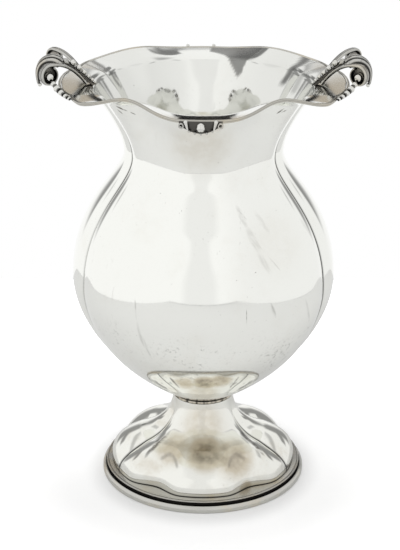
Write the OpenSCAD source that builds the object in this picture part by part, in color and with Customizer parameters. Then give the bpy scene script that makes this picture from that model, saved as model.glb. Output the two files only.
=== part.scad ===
// Raised silver vase with a lobed body, a wavy rim and a scroll handle on each side.
// Millimetres. +Z is up and the origin is the centre of the foot, on the table.
// The front faces -Y and the handles stand at -X and +X.

/* [Body] */
// Height of the rim at its two low points, front and back
rim_h = 279.8; // [270:0.2:300]
// Outer radius of the rim at its two low points
mouth_r = 92.5; // [85:0.5:100]
// Largest radius of the belly
belly_r = 88.3; // [75:0.5:95]
// Height of the belly's widest line
belly_h = 147; // [140:1:155]
// Radius of the neck
neck_r = 52.6; // [45:0.5:60]
// Height of the narrowest line of the neck
neck_h = 235; // [228:1:240]
// Radius where the neck turns out into the lip
lip_r = 70; // [66:0.5:72]
// Drop from the rim to that turn
lip_drop = 3.8; // [2.5:0.1:5]
// Thickness of the silver sheet
wall = 1; // [0.8:0.1:1.4]

/* [Lobes] */
// Half the angle that the lobe under each handle covers
side_lobe_angle = 23; // [18:1:28]
// Angle from the front at which the soft flutes lie
flute_angle = 36.5; // [34:0.5:39]
// Angle over which a flute fades out towards the front
flute_front_spread = 29; // [20:1:30]
// Angle over which a flute fades out towards the handle
flute_side_spread = 20; // [14:1:22]
// Angle on each side over which a panel rolls into a crease
crease_spread = 13; // [8:1:16]
// Depth of the creases in the body
crease_depth = 2.6; // [1:0.1:4]
// Depth of the flutes at the rim
rim_flute_depth = 11; // [4:0.5:12]
// Rise of the rim over each flute
rim_rise = 5.8; // [2:0.1:8]
// Depth of the flutes in the belly
belly_flute_depth = 0.6; // [0:0.1:1.5]
// How far the rim stands out at the sides
side_swell = 2; // [0:0.25:4]
// Angle from the front at which it begins to stand out
swell_start = 29; // [26:1:32]
// Angle over which it does so
swell_spread = 20; // [14:1:24]

/* [Rim wire] */
// Radius of the wire that is soldered round the rim
wire_r = 1.15; // [0.9:0.05:1.5]

/* [Stem and foot] */
// Radius of the stem at its top
stem_r = 20.6; // [19:0.2:23]
// Height of the top of the stem
stem_h = 57; // [52:0.2:60]
// Outer radius of the solder collar between the stem and the body
collar_r = 21.2; // [20.8:0.2:24]
// Height of the collar
collar_h = 2.2; // [1.5:0.1:3]
// Radius of the shoulder of the foot
shoulder_r = 42; // [39:0.5:45]
// Height of the shoulder of the foot, in its creases
shoulder_h = 27; // [25:0.5:30]
// Radius of the lobed lower edge of the foot
dome_r = 63.4; // [61:0.2:65]
// How far the lobes of the foot swell out of the creases
lobe_swell = 5.5; // [3:0.25:7]
// Angle from the front at which the flutes of the foot lie
foot_flute_angle = 34; // [30:1:38]
// Angle on each side over which they fade out
foot_flute_spread = 20; // [14:1:22]
// Depth of the flutes at the lower edge of the foot
foot_flute_depth = 5.2; // [2:0.2:7]
// How much less the foot's edge reaches at front and back than at the sides
foot_draw = 1; // [0:0.25:2]
// Outer radius of the flat flange
flange_r = 68; // [66:0.2:69]
// Thickness of the flange
flange_t = 1.2; // [0.8:0.1:1.6]
// Outer radius of the heavy ring under the flange
base_r = 70.6; // [69.5:0.1:74]
// Height of the heavy ring
base_h = 4.6; // [4:0.1:6]
// Radius of the groove between that ring and the flange
groove_r = 66.8; // [66:0.1:67.4]
// Height of the groove
groove_h = 1.8; // [1:0.1:2.4]

/* [Handles] */
// Distance from the axis to the centre that the reeded hook bends round
hub_x = 98; // [97:0.5:100]
// Height of that centre above the rim
hub_rise = 7.2; // [6.4:0.2:8]
// Outer radius of the hook
hook_r = 10.8; // [10:0.2:12]
// Thickness of the hook
hook_t = 1.8; // [1.4:0.1:2.4]
// Half the width of the hook at its inner end
hook_half_w = 9.2; // [7:0.2:10]
// Number of reeds across the hook
reeds = 4; // [3:1:5]
// Height of the reeds
reed_h = 0.9; // [0.4:0.1:1.2]
// Radius of the drop ball under the hook
drop_r = 1.4; // [1:0.1:1.8]
// Width of the tongue that carries the hook
tongue_w = 4; // [3:0.2:5]
// Thickness of the tongue
tongue_t = 1.6; // [1.2:0.1:2]
// Radius of the largest bead on the tongue
tongue_bead_r = 2.1; // [1.6:0.1:2.4]
// Distance from the axis to the centre of each ram's horn scroll
scroll_x = 98.4; // [97:0.2:100]
// Height of that centre above the one of the hook
scroll_rise = 2.8; // [2:0.2:4]
// Distance from the middle plane of a handle to the centre of each scroll
scroll_y = 22; // [20:0.5:24]
// Radius of the centre line of a scroll
scroll_r = 6.3; // [6:0.1:7]
// Radius of the scroll's moulding
scroll_wire_r = 1.1; // [0.8:0.05:1.3]
// Width of the moulding over its thickness, where it forms the ring
scroll_band = 2; // [1:0.1:2.4]
// Turn of the plane of each scroll away from the handle's middle plane
scroll_turn = 40; // [30:1:45]
// Sag of the middle of each bead strand, outwards and down
strand_sag = 1.2; // [0:0.1:2]
// Radius of the bead in the eye of a scroll
eye_r = 3.1; // [2.4:0.1:3.4]

/* [Ornament] */
// Width of the ornament under the rim
ornament_w = 26; // [20:0.5:30]
// Height of the ornament
ornament_h = 7.4; // [6:0.2:9]
// How far to the left of the middle it was soldered, at front and back
ornament_shift = 2; // [0:0.2:3]
// Thickness of its backplate
plate_t = 0.9; // [0.6:0.1:1.4]
// Radius of its domed centre bead
boss_r = 2.9; // [2.2:0.1:3.2]
// Radius of the head of each petal
petal_r = 1.3; // [1:0.1:1.6]
// Radius of the granules along its lower edge
granule_r = 0.8; // [0.5:0.1:1]
// Outer radius of the curls at its two ends
curl_r = 1.9; // [1.5:0.1:2.2]

/* [Hidden] */

// Colours of polished, worn and darkened silver
polished = [0.86, 0.86, 0.84];
worn = [0.78, 0.75, 0.69];
darkened = [0.22, 0.22, 0.21];

// Gap left between pieces that are soldered together, as wide as a solder line
solder = 0.1;

$fn = 48;

// Steps round the plan: each broad lobe, and each lobe under a handle
broad_steps = 26;
narrow_steps = 10;
crease_a = 90 - side_lobe_angle;
broad_angle = 2 * crease_a;
narrow_angle = 2 * side_lobe_angle;

// Azimuths round the vase, measured from the front, with one on every crease
azimuths = concat(
    [for (i = [0:broad_steps - 1]) -crease_a + i * broad_angle / broad_steps],
    [for (i = [0:narrow_steps - 1]) crease_a + i * narrow_angle / narrow_steps],
    [for (i = [0:broad_steps - 1]) 180 - crease_a + i * broad_angle / broad_steps],
    [for (i = [0:narrow_steps - 1]) 180 + crease_a + i * narrow_angle / narrow_steps]);
plan_n = len(azimuths);

// Angle from the nearer of front and back, from 0 to 90
function fold(a) = abs(abs(((a + 540) % 360) - 180) > 90 ? 180 - abs(((a + 540) % 360) - 180)
    : abs(((a + 540) % 360) - 180));
function smooth(s) = let (c = max(0, min(1, s))) c * c * (3 - 2 * c);
function crease(a) = pow(max(0, 1 - abs(fold(a) - crease_a) / crease_spread), 2);
// Smooth wave across a flute, from 0 at d = -1 or 1 to 1 in its middle
function wave(d) = abs(d) < 1 ? (1 + cos(180 * d)) / 2 : 0;
function flute(a) = let (d = fold(a) - flute_angle) wave(d / (d < 0 ? flute_front_spread : flute_side_spread));
function foot_flute(a) = wave((fold(a) - foot_flute_angle) / foot_flute_spread);
function swell(a) = smooth((fold(a) - swell_start) / swell_spread);

// Cubic curve through a and d with handles b and c, without its first point
function curve(a, b, c, d, steps) = [for (i = [1:steps]) let (t = i / steps, u = 1 - t)
    u * u * u * a + 3 * u * u * t * b + 3 * u * t * t * c + t * t * t * d];
// Unit normal of a profile at point i, on its left: inwards on the body, outwards on the foot
function normal_at(p, i) = let (d = p[min(i + 1, len(p) - 1)] - p[max(i - 1, 0)]) [-d.y, d.x] / norm(d);
// Point at azimuth a, radius r and height z
function polar(a, r, z) = [r * sin(a), -r * cos(a), z];

// Faces between the rows of a grid that closes on itself across each row
function band(row_a, row_b, n) = [for (i = [0:n - 1]) let (j = (i + 1) % n)
    each [[row_a * n + i, row_b * n + i, row_b * n + j], [row_a * n + i, row_b * n + j, row_a * n + j]]];
// Faces of a fan from one point to a row
function fan(row, n, tip, up) = [for (i = [0:n - 1]) let (j = (i + 1) % n)
    up ? [row * n + i, tip, row * n + j] : [row * n + j, tip, row * n + i]];

// Body profile
body_z = stem_h + collar_h + 2 * solder;
lip_z = rim_h - lip_drop;
edge_r = mouth_r - 2 * wire_r - solder;
bowl_w = belly_r - stem_r;
bowl_h = belly_h - body_z;
shoulder_rise = neck_h - belly_h;
throat_w = lip_r - neck_r;
throat_h = lip_z - neck_h;
lip_w = edge_r - lip_r;
// Curve handles, as shares of the sizes above
bowl_out_share = 0.98;
bowl_up_share = 0.45;
bowl_side_share = 0.06;
shoulder_low_share = 0.6;
shoulder_high_share = 0.22;
throat_low_share = 0.33;
throat_out_share = 0.3;
throat_down_share = 0.21;
lip_turn_share = 0.12;
lip_flat_share = 0.4;
lip_up_share = 0.65;
bowl_steps = 8;
shoulder_steps = 7;
throat_steps = 4;
lip_steps = 3;
body_profile = concat(
    [[stem_r, body_z]],
    curve([stem_r, body_z], [stem_r + bowl_out_share * bowl_w, body_z + bowl_up_share * bowl_h],
        [belly_r, belly_h - bowl_side_share * bowl_h], [belly_r, belly_h], bowl_steps),
    curve([belly_r, belly_h], [belly_r, belly_h + shoulder_low_share * shoulder_rise],
        [neck_r, neck_h - shoulder_high_share * shoulder_rise], [neck_r, neck_h], shoulder_steps),
    curve([neck_r, neck_h], [neck_r, neck_h + throat_low_share * throat_h],
        [lip_r - throat_out_share * throat_w, lip_z - throat_down_share * throat_h],
        [lip_r, lip_z], throat_steps),
    curve([lip_r, lip_z], [lip_r + lip_turn_share * lip_w, lip_z + lip_up_share * lip_drop],
        [edge_r - lip_flat_share * lip_w, rim_h - wall], [edge_r, rim_h - wall / 2], lip_steps));
body_n = len(body_profile);

// Shares of the side swell, and of the creases and flutes of the bowl, that each height takes
function rim_share(z) = pow(smooth((z - neck_h) / (rim_h - neck_h)), 1.5);
function bowl_share(z) = smooth((z - body_z) / (belly_h - body_z));
// Share of the rim's rise at profile point p: it gathers in the lip and fades out in the throat
function lip_share(p) = p.y < neck_h ? 0 : pow((p.x - neck_r) / (edge_r - neck_r), 1.5);
// Share of the flutes' depth: the first half of it comes low in the throat, the rest in the lip
throat_flute_share = 0.5;
throat_flute_end_share = 0.67;
function rim_flute_share(p) = lip_share(p) * (1 - throat_flute_share)
    + smooth((p.y - neck_h) / (throat_flute_end_share * (rim_h - neck_h))) * throat_flute_share;

function body_point(a, i, inner) = let (
        on_line = body_profile[i],
        p = on_line + (inner ? wall * normal_at(body_profile, i) : [0, 0]),
        lip = lip_share(on_line),
        share = bowl_share(on_line.y),
        flute_depth = rim_flute_depth * rim_flute_share(on_line) + belly_flute_depth * share,
        r = p.x + side_swell * rim_share(on_line.y) * swell(a) - crease_depth * share * crease(a)
            - flute_depth * flute(a))
    polar(a, r, p.y + rim_rise * lip * flute(a));

module body_shell() {
    rows = concat(
        [for (i = [0:body_n - 1]) [for (a = azimuths) body_point(a, i, false)]],
        [for (i = [body_n - 1:-1:1]) [for (a = azimuths) body_point(a, i, true)]],
        [[for (a = azimuths) polar(a, stem_r, body_z + wall)]]);
    row_n = len(rows);
    tips = [[0, 0, body_z], [0, 0, body_z + wall]];
    first_tip = row_n * plan_n;
    color(polished)
        polyhedron(points = concat([for (row = rows) each row], tips),
            faces = concat([for (k = [0:row_n - 2]) each band(k, k + 1, plan_n)],
                fan(0, plan_n, first_tip, false),
                fan(row_n - 1, plan_n, first_tip + 1, true)), convexity = 8);
}

// Centre of the rim wire, which butts against the edge of the lip
function rim_centre(a) = let (
        low = body_point(a, body_n - 1, false),
        high = body_point(a, body_n - 1, true),
        r = norm([low.x, low.y]) + wire_r + solder)
    [r, (low.z + high.z) / 2];

wire_sides = 6;

module rim_wire() {
    rows = [for (k = [0:wire_sides - 1]) [for (a = azimuths)
        let (c = rim_centre(a), t = 360 * k / wire_sides + 180 / wire_sides)
        polar(a, c.x + wire_r * cos(t), c.y + wire_r * sin(t))]];
    color(worn)
        polyhedron(points = [for (row = rows) each row],
            faces = [for (k = [0:wire_sides - 1]) each band(k, (k + 1) % wire_sides, plan_n)],
            convexity = 6);
}

// Half-round collar of solder between stem and body
collar_bore_share = 0.75;

module stem_collar() {
    color(worn)
        translate([0, 0, stem_h + solder])
            rotate_extrude($fn = 96)
                union() {
                    translate([collar_r * collar_bore_share, 0])
                        square([collar_r * (1 - collar_bore_share) - collar_h / 2, collar_h]);
                    translate([collar_r - collar_h / 2, collar_h / 2])
                        circle(d = collar_h);
                }
}

// Foot profile in its creases, from the top of the stem to the lower edge
flange_z = base_h + groove_h + solder;
dome_z = flange_z + flange_t + solder;
stem_w = shoulder_r - stem_r;
stem_rise = stem_h - shoulder_h;
dome_w = dome_r - shoulder_r;
dome_rise = shoulder_h - dome_z;
stem_straight_share = 0.55;
shoulder_in_share = 0.6;
shoulder_up_share = 0.14;
dome_out_share = 0.47;
dome_down_share = 0.27;
dome_side_share = 0.45;
stem_steps = 5;
dome_steps = 5;
foot_profile = concat(
    [[stem_r, stem_h]],
    curve([stem_r, stem_h], [stem_r, stem_h - stem_straight_share * stem_rise],
        [shoulder_r - shoulder_in_share * stem_w, shoulder_h + shoulder_up_share * stem_rise],
        [shoulder_r, shoulder_h], stem_steps),
    curve([shoulder_r, shoulder_h],
        [shoulder_r + dome_out_share * dome_w, shoulder_h - dome_down_share * dome_rise],
        [dome_r, dome_z + dome_side_share * dome_rise], [dome_r, dome_z], dome_steps));
foot_n = len(foot_profile);

// Lobes between the creases: none in a crease, full in the middle of a lobe
function lobe(a) = let (d = abs(fold(a) - crease_a) / side_lobe_angle) 1 - pow(max(0, 1 - d), 2);
// How far the lobes stand out at profile point i, fading to nothing on the stem and at the edge
lobe_power = 1.2;
function lobe_share(i) = sin(180 * pow(i / (foot_n - 1), lobe_power));

function foot_point(a, i, inner) = let (
        stand = lobe_swell * lobe_share(i) * lobe(a) - (inner ? wall : 0),
        p = foot_profile[i] + stand * normal_at(foot_profile, i),
        w = smooth(i / (foot_n - 1)),
        r = p.x - foot_draw * w * (1 - swell(a)) - foot_flute_depth * w * foot_flute(a))
    polar(a, r, i == foot_n - 1 ? dome_z : i == 0 ? stem_h : p.y);

module foot_dome() {
    rows = concat(
        [for (i = [0:foot_n - 1]) [for (a = azimuths) foot_point(a, i, false)]],
        [for (i = [foot_n - 1:-1:0]) [for (a = azimuths) foot_point(a, i, true)]]);
    row_n = len(rows);
    color(polished)
        polyhedron(points = [for (row = rows) each row],
            faces = [for (k = [0:row_n - 1]) each band((k + 1) % row_n, k, plan_n)],
            convexity = 8);
}

// Flat flange under the dome, with a beaded edge
flange_bore_share = 0.8;

module foot_flange() {
    color(polished)
        translate([0, 0, flange_z])
            rotate_extrude($fn = 96)
                union() {
                    translate([flange_r * flange_bore_share, 0])
                        square([flange_r * (1 - flange_bore_share) - flange_t / 2, flange_t]);
                    translate([flange_r - flange_t / 2, flange_t / 2])
                        circle(d = flange_t);
                }
}

// Heavy ring with a rounded edge that the vase stands on, with a neck that makes the groove
base_bore_share = 0.92;
base_edge_share = 0.35;

module base_ring() {
    color(worn)
        rotate_extrude($fn = 96)
            union() {
                translate([base_r * base_bore_share, 0])
                    square([base_r * (1 - base_bore_share) - base_h * base_edge_share / 2, base_h]);
                translate([base_r - base_h * base_edge_share / 2, base_h / 2])
                    scale([base_edge_share, 1])
                        circle(d = base_h);
                translate([base_r * base_bore_share, base_h])
                    square([groove_r - base_r * base_bore_share, groove_h]);
            }
}

// Handles, drawn for the right side with the front half at -Y
hub = [hub_x, rim_h + hub_rise];
hook_start = 134;
hook_end = -40;
hook_steps = 11;
reed_steps = 4;
hook_tip_share = 0.25;
hook_narrow_power = 1.6;
hook_crown_share = 0.28;
hook_open_share = 0.24;
hook_open_power = 8;

function hook_half(t) = hook_half_w * (1 - (1 - hook_tip_share) * pow(t, hook_narrow_power));

// Point of the hook: t runs from its inner end to its tip, s across its width
function hook_point(t, s, inner) = let (
        a = hook_start + t * (hook_end - hook_start),
        across = 2 * s - 1,
        fade = 1 - t / 2,
        r = hook_r * (1 + hook_open_share * pow(t, hook_open_power)
                - hook_crown_share * across * across * fade)
            - (inner ? hook_t : reed_h * fade * (1 - abs(sin(180 * reeds * s)))))
    [hub.x + r * cos(a), hook_half(t) * across, hub.y + r * sin(a)];

module hook() {
    across_n = reeds * reed_steps;
    ring_n = 2 * (across_n + 1);
    rows = [for (k = [0:hook_steps]) concat(
        [for (j = [0:across_n]) hook_point(k / hook_steps, j / across_n, false)],
        [for (j = [across_n:-1:0]) hook_point(k / hook_steps, j / across_n, true)])];
    last = hook_steps * ring_n;
    // Strips that close the two ends, between the outer and the inner points
    ends = [for (j = [0:across_n - 1]) let (o = j, p = j + 1, q = ring_n - 2 - j, r = ring_n - 1 - j)
        each [[o, q, p], [o, r, q], [last + p, last + r, last + o], [last + p, last + q, last + r]]];
    polyhedron(points = [for (row = rows) each row],
        faces = concat([for (k = [0:hook_steps - 1]) each band(k + 1, k, ring_n)], ends), convexity = 8);
}

// Ball that hangs under the tip of the hook
module drop() {
    mid_r = hook_r * (1 + hook_open_share) - hook_t / 2;
    below = hook_end - 2 * asin((drop_r + solder) / (2 * mid_r));
    translate([hub.x + mid_r * cos(below), 0, hub.y + mid_r * sin(below)])
        sphere(r = drop_r);
}

// Tongue: a curved strap from the turn of the lip up to the inner end of the hook
lip_turn = body_point(90, body_n - 1 - lip_steps, true);
root = [lip_turn.x + wall / 2, lip_turn.z + tongue_t / 2 + 3 * solder];
tongue_top_r = hook_r - hook_t / 2 - reed_h / 2;
tongue_top_a = hook_start + 2 * asin(solder / tongue_top_r);
tongue_top = [hub.x + tongue_top_r * cos(tongue_top_a), hub.y + tongue_top_r * sin(tongue_top_a)];
tongue_bow_share = 0.55;
tongue_lift_share = 0.58;
tongue_mid = [root.x + tongue_bow_share * (tongue_top.x - root.x),
    root.y + tongue_lift_share * (tongue_top.y - root.y)];
tongue_steps = 10;

function tongue_at(t) = (1 - t) * (1 - t) * root + 2 * t * (1 - t) * tongue_mid + t * t * tongue_top;
function tongue_normal(t) = let (d = (1 - t) * (tongue_mid - root) + t * (tongue_top - tongue_mid))
    [-d.y, d.x] / norm(d);

module tongue() {
    upper = [for (k = [0:tongue_steps]) let (t = k / tongue_steps)
        tongue_at(t) + tongue_t / 2 * tongue_normal(t)];
    lower = [for (k = [tongue_steps:-1:0]) let (t = k / tongue_steps)
        tongue_at(t) - tongue_t / 2 * tongue_normal(t)];
    rotate([90, 0, 0])
        linear_extrude(height = tongue_w, center = true)
            polygon(concat(upper, lower));
}

// Beads along the tongue, from the largest beside the hook to the smallest at the root
tongue_bead_place_shares = [0.74, 0.535, 0.36, 0.215, 0.1, 0.01];
tongue_bead_size_shares = [1, 0.92, 0.8, 0.68, 0.56, 0.46];

module tongue_beads() {
    for (i = [0:len(tongue_bead_place_shares) - 1]) {
        t = tongue_bead_place_shares[i];
        r = tongue_bead_r * tongue_bead_size_shares[i];
        c = tongue_at(t) + (tongue_t / 2 + r + solder / 2) * tongue_normal(t);
        translate([c.x, 0, c.y])
            sphere(r = r);
    }
}

// Ram's horn scroll: a tail that runs up beside the tongue and a ring turned away from it
scroll_c = [scroll_x, -scroll_y, hub.y + scroll_rise];
out_dir = [cos(scroll_turn), -sin(scroll_turn), 0];
face_dir = [-sin(scroll_turn), -cos(scroll_turn), 0];
up_dir = [0, 0, 1];
tail_place_share = 0.28;
tail_tip = let (p = tongue_at(tail_place_share))
    [p.x, -tongue_w / 2 - scroll_wire_r / 2 - solder, p.y];
ring_top = scroll_c + scroll_r * up_dir;
tail_low_share = 0.5;
tail_flat_share = 0.42;
tail_out_share = 0.27;
tail_length = norm(ring_top - tail_tip);
tail_low = [tail_tip.x + tail_out_share * (ring_top.x - tail_tip.x), tail_tip.y - scroll_wire_r,
    tail_tip.z + tail_low_share * (ring_top.z - tail_tip.z)];
tail_high = ring_top - tail_flat_share * tail_length * out_dir;
tail_steps = 9;
ring_steps = 22;
ring_turn = 335;
ring_shrink_share = 0.2;
ring_drift = scroll_wire_r;
scroll_sides = 6;
tip_wire_share = 0.4;
end_wire_share = 0.6;

function ring_at(u) = let (a = 90 - ring_turn * u, r = scroll_r * (1 - ring_shrink_share * u))
    scroll_c + r * cos(a) * out_dir + r * sin(a) * up_dir + ring_drift * u * face_dir;
scroll_path = concat([tail_tip], curve(tail_tip, tail_low, tail_high, ring_top, tail_steps),
    [for (k = [1:ring_steps]) ring_at(k / ring_steps)]);
scroll_n = len(scroll_path);
function scroll_wire(i) = scroll_wire_r * (i < tail_steps
    ? tip_wire_share + (1 - tip_wire_share) * i / tail_steps
    : 1 - (1 - end_wire_share) * (i - tail_steps) / ring_steps);
// The moulding is round at the tip of the tail and widens to a band
function scroll_width(i) = 1 + (scroll_band - 1) * smooth(i / tail_steps);

module scroll() {
    rows = [for (i = [0:scroll_n - 1]) let (
            d = scroll_path[min(i + 1, scroll_n - 1)] - scroll_path[max(i - 1, 0)],
            along = d / norm(d),
            side = face_dir - (face_dir * along) * along,
            b = side / norm(side),
            n = cross(b, along))
        [for (k = [0:scroll_sides - 1]) let (t = 360 * k / scroll_sides)
            scroll_path[i] + scroll_wire(i) * (scroll_width(i) * cos(t) * b + sin(t) * n)]];
    first_end = [for (k = [scroll_sides - 1:-1:0]) k];
    last_end = [for (k = [0:scroll_sides - 1]) (scroll_n - 1) * scroll_sides + k];
    polyhedron(points = [for (row = rows) each row],
        faces = concat([for (k = [0:scroll_n - 2]) each band(k + 1, k, scroll_sides)],
            [last_end], [first_end]), convexity = 8);
}

// Strand of beads and reels from the eye of a scroll down to the rim wire at the end of the side lobe
strand_place_shares = [0, 0.27, 0.47, 0.67, 0.85, 1];
strand_size_shares = [1, 0.6, 0.74, 0.6, 0.46, 0.34];
reel_size_share = 0.5;
reel_t = 0.7;
core_share = 0.25;
eye_drop_share = 0.4;
eye = scroll_c - eye_drop_share * eye_r * up_dir;
// The last bead touches the outside of the rim wire, a little in front of the crease
seat_a = crease_a - 3;
corner = rim_centre(seat_a);
corner_bead_r = eye_r * strand_size_shares[len(strand_size_shares) - 1];
seat = polar(seat_a, corner.x + wire_r + corner_bead_r + solder, corner.y);
sag = 4 * strand_sag * [1, 0, -1] / norm([1, 0, -1]);

function strand_at(t) = (1 - t) * eye + t * seat + t * (1 - t) * sag;

module strand() {
    bead_n = len(strand_place_shares);
    for (i = [0:bead_n - 1])
        translate(strand_at(strand_place_shares[i]))
            sphere(r = eye_r * strand_size_shares[i]);
    for (i = [0:bead_n - 2]) {
        a = strand_at(strand_place_shares[i]);
        d = strand_at(strand_place_shares[i + 1]) - a;
        translate(a)
            rotate([0, acos(d.z / norm(d)), atan2(d.y, d.x)])
                union() {
                    cylinder(r = eye_r * core_share, h = norm(d));
                    if (i > 0)
                        translate([0, 0, (norm(d) - reel_t) / 2])
                            cylinder(r = eye_r * reel_size_share * strand_size_shares[i]
                                / strand_size_shares[1], h = reel_t);
                }
    }
}

// Puts a right-hand, front-half shape on any of the four corners
module place(left, back) {
    mirror([left ? 1 : 0, 0, 0])
        mirror([0, back ? 1 : 0, 0])
            children();
}

module left_hook() { color(polished) place(true, false) hook(); }
module right_hook() { color(polished) place(false, false) hook(); }
module left_drop() { color(polished) place(true, false) drop(); }
module right_drop() { color(polished) place(false, false) drop(); }
module left_tongue() { color(darkened) place(true, false) tongue(); }
module right_tongue() { color(darkened) place(false, false) tongue(); }
module left_tongue_beads() { color(polished) place(true, false) tongue_beads(); }
module right_tongue_beads() { color(polished) place(false, false) tongue_beads(); }
module left_front_scroll() { color(worn) place(true, false) scroll(); }
module left_back_scroll() { color(worn) place(true, true) scroll(); }
module right_front_scroll() { color(worn) place(false, false) scroll(); }
module right_back_scroll() { color(worn) place(false, true) scroll(); }
module left_front_strand() { color(polished) place(true, false) strand(); }
module left_back_strand() { color(polished) place(true, true) strand(); }
module right_front_strand() { color(polished) place(false, false) strand(); }
module right_back_strand() { color(polished) place(false, true) strand(); }

// Ornament, drawn for the front: a curved backplate that hangs outside the rim wire
plate_top = rim_centre(0).y + wire_r / 2;
plate_in_r = rim_centre(0).x + wire_r + solder;
plate_out_r = plate_in_r + plate_t;
plate_end_share = 0.35;
plate_steps = 12;
overrun = 5;

module plate() {
    half = ornament_w / 2;
    top = [[half, 0], [-half, 0]];
    bottom = [for (k = [0:plate_steps]) let (s = 2 * k / plate_steps - 1)
        [s * half, -ornament_h * (plate_end_share + (1 - plate_end_share) * cos(90 * s))]];
    intersection() {
        translate([0, 0, plate_top - ornament_h - overrun])
            rotate([0, 0, -135])
                rotate_extrude(angle = 90, $fn = 192)
                    translate([plate_in_r, 0])
                        square([plate_t, ornament_h + 2 * overrun]);
        translate([0, 0, plate_top])
            rotate([90, 0, 0])
                linear_extrude(height = plate_out_r + overrun)
                    polygon(concat(top, bottom));
    }
}

// Puts a child on the outer face of the plate, x along the rim and z below its top
module on_plate(x, z, lift) {
    translate([0, 0, plate_top + z])
        rotate([0, 0, asin(x / plate_out_r)])
            translate([0, -plate_out_r - solder - lift, 0])
                children();
}

module boss() {
    boss_drop_share = 0.48;
    on_plate(0, -boss_drop_share * ornament_h, 0)
        intersection() {
            sphere(r = boss_r);
            translate([-boss_r, -boss_r, -boss_r])
                cube([2 * boss_r, boss_r, 2 * boss_r]);
        }
}

// A petal is a round head on a taper that points down and inwards
petal_place_share = 0.69;
petal_length_share = 0.7;
petal_lean = 15;
petal_tip_share = 0.3;

module petals() {
    for (side = [-1, 1])
        on_plate(side * petal_place_share * ornament_w / 2, 0, petal_r)
            rotate([0, side * petal_lean, 0])
                union() {
                    sphere(r = petal_r);
                    translate([0, 0, -petal_length_share * ornament_h])
                        cylinder(r1 = petal_tip_share * petal_r, r2 = petal_r,
                            h = petal_length_share * ornament_h);
                }
}

granule_place_shares = [-0.53, -0.27, 0, 0.27, 0.53];

module granules() {
    for (s = granule_place_shares) {
        low = -ornament_h * (plate_end_share + (1 - plate_end_share) * cos(90 * s));
        on_plate(s * ornament_w / 2, low, granule_r)
            sphere(r = granule_r);
    }
}

curl_place_share = 0.9;
curl_wire_share = 0.3;

module curls() {
    for (side = [-1, 1])
        on_plate(side * curl_place_share * ornament_w / 2, -plate_end_share * ornament_h,
            curl_wire_share * curl_r)
            rotate([90, 0, 0])
                rotate_extrude()
                    translate([curl_r * (1 - curl_wire_share), 0])
                        circle(r = curl_r * curl_wire_share);
}

// Turns the ornament to its place at the front or the back, both a little to the left as the front is seen
module turned(back) {
    turn = asin(ornament_shift / plate_out_r);
    rotate([0, 0, back ? 180 + turn : -turn])
        children();
}

module front_plate() { color(darkened) turned(false) plate(); }
module back_plate() { color(darkened) turned(true) plate(); }
module front_boss() { color(polished) turned(false) boss(); }
module back_boss() { color(polished) turned(true) boss(); }
module front_petals() { color(polished) turned(false) petals(); }
module back_petals() { color(polished) turned(true) petals(); }
module front_granules() { color(worn) turned(false) granules(); }
module back_granules() { color(worn) turned(true) granules(); }
module front_curls() { color(worn) turned(false) curls(); }
module back_curls() { color(worn) turned(true) curls(); }

body_shell();
rim_wire();
stem_collar();
foot_dome();
foot_flange();
base_ring();
left_hook();
right_hook();
left_drop();
right_drop();
left_tongue();
right_tongue();
left_tongue_beads();
right_tongue_beads();
left_front_scroll();
left_back_scroll();
right_front_scroll();
right_back_scroll();
left_front_strand();
left_back_strand();
right_front_strand();
right_back_strand();
front_plate();
back_plate();
front_boss();
back_boss();
front_petals();
back_petals();
front_granules();
back_granules();
front_curls();
back_curls();
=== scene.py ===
"""Studio scene of a raised silver vase with a lobed body, a wavy rim and two scroll handles.

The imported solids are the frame. Every piece is made again here from the same sizes, with a
finer mesh. Lengths are millimetres until MM turns them into metres. The front faces -Y and
the handles stand at -X and +X.
"""

import math

import bmesh
import bpy
import numpy as np
from mathutils import Matrix, Vector


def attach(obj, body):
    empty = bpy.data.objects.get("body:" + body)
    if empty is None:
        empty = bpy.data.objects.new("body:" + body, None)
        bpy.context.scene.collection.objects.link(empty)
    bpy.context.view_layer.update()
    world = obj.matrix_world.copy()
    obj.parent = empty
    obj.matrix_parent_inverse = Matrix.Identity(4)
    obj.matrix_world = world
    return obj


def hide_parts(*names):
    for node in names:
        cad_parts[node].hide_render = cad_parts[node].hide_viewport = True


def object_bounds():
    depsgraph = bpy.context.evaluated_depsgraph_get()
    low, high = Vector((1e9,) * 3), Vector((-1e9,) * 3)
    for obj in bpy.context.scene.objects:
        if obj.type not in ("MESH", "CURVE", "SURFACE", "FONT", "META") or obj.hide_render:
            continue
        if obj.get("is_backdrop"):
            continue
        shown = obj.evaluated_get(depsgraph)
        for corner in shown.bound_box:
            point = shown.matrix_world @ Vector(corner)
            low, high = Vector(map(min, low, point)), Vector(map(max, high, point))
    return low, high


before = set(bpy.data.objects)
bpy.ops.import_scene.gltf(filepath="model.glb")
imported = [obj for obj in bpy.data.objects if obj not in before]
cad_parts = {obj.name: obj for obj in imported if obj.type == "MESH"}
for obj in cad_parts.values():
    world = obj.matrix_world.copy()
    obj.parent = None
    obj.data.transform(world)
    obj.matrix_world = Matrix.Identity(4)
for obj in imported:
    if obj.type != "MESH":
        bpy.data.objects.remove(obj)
cad_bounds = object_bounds()

MM = 0.001

# Body, as in the part: heights and radii of the profile
RIM_H = 279.8
MOUTH_R = 92.5
BELLY_R = 88.3
BELLY_H = 147
NECK_R = 52.6
NECK_H = 235
LIP_R = 70
LIP_DROP = 3.8
WALL = 1
STEM_R = 20.6
STEM_H = 57
COLLAR_R = 21.2
COLLAR_H = 2.2
SOLDER = 0.1
WIRE_R = 1.15
EDGE_R = MOUTH_R - 2 * WIRE_R - SOLDER

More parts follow.
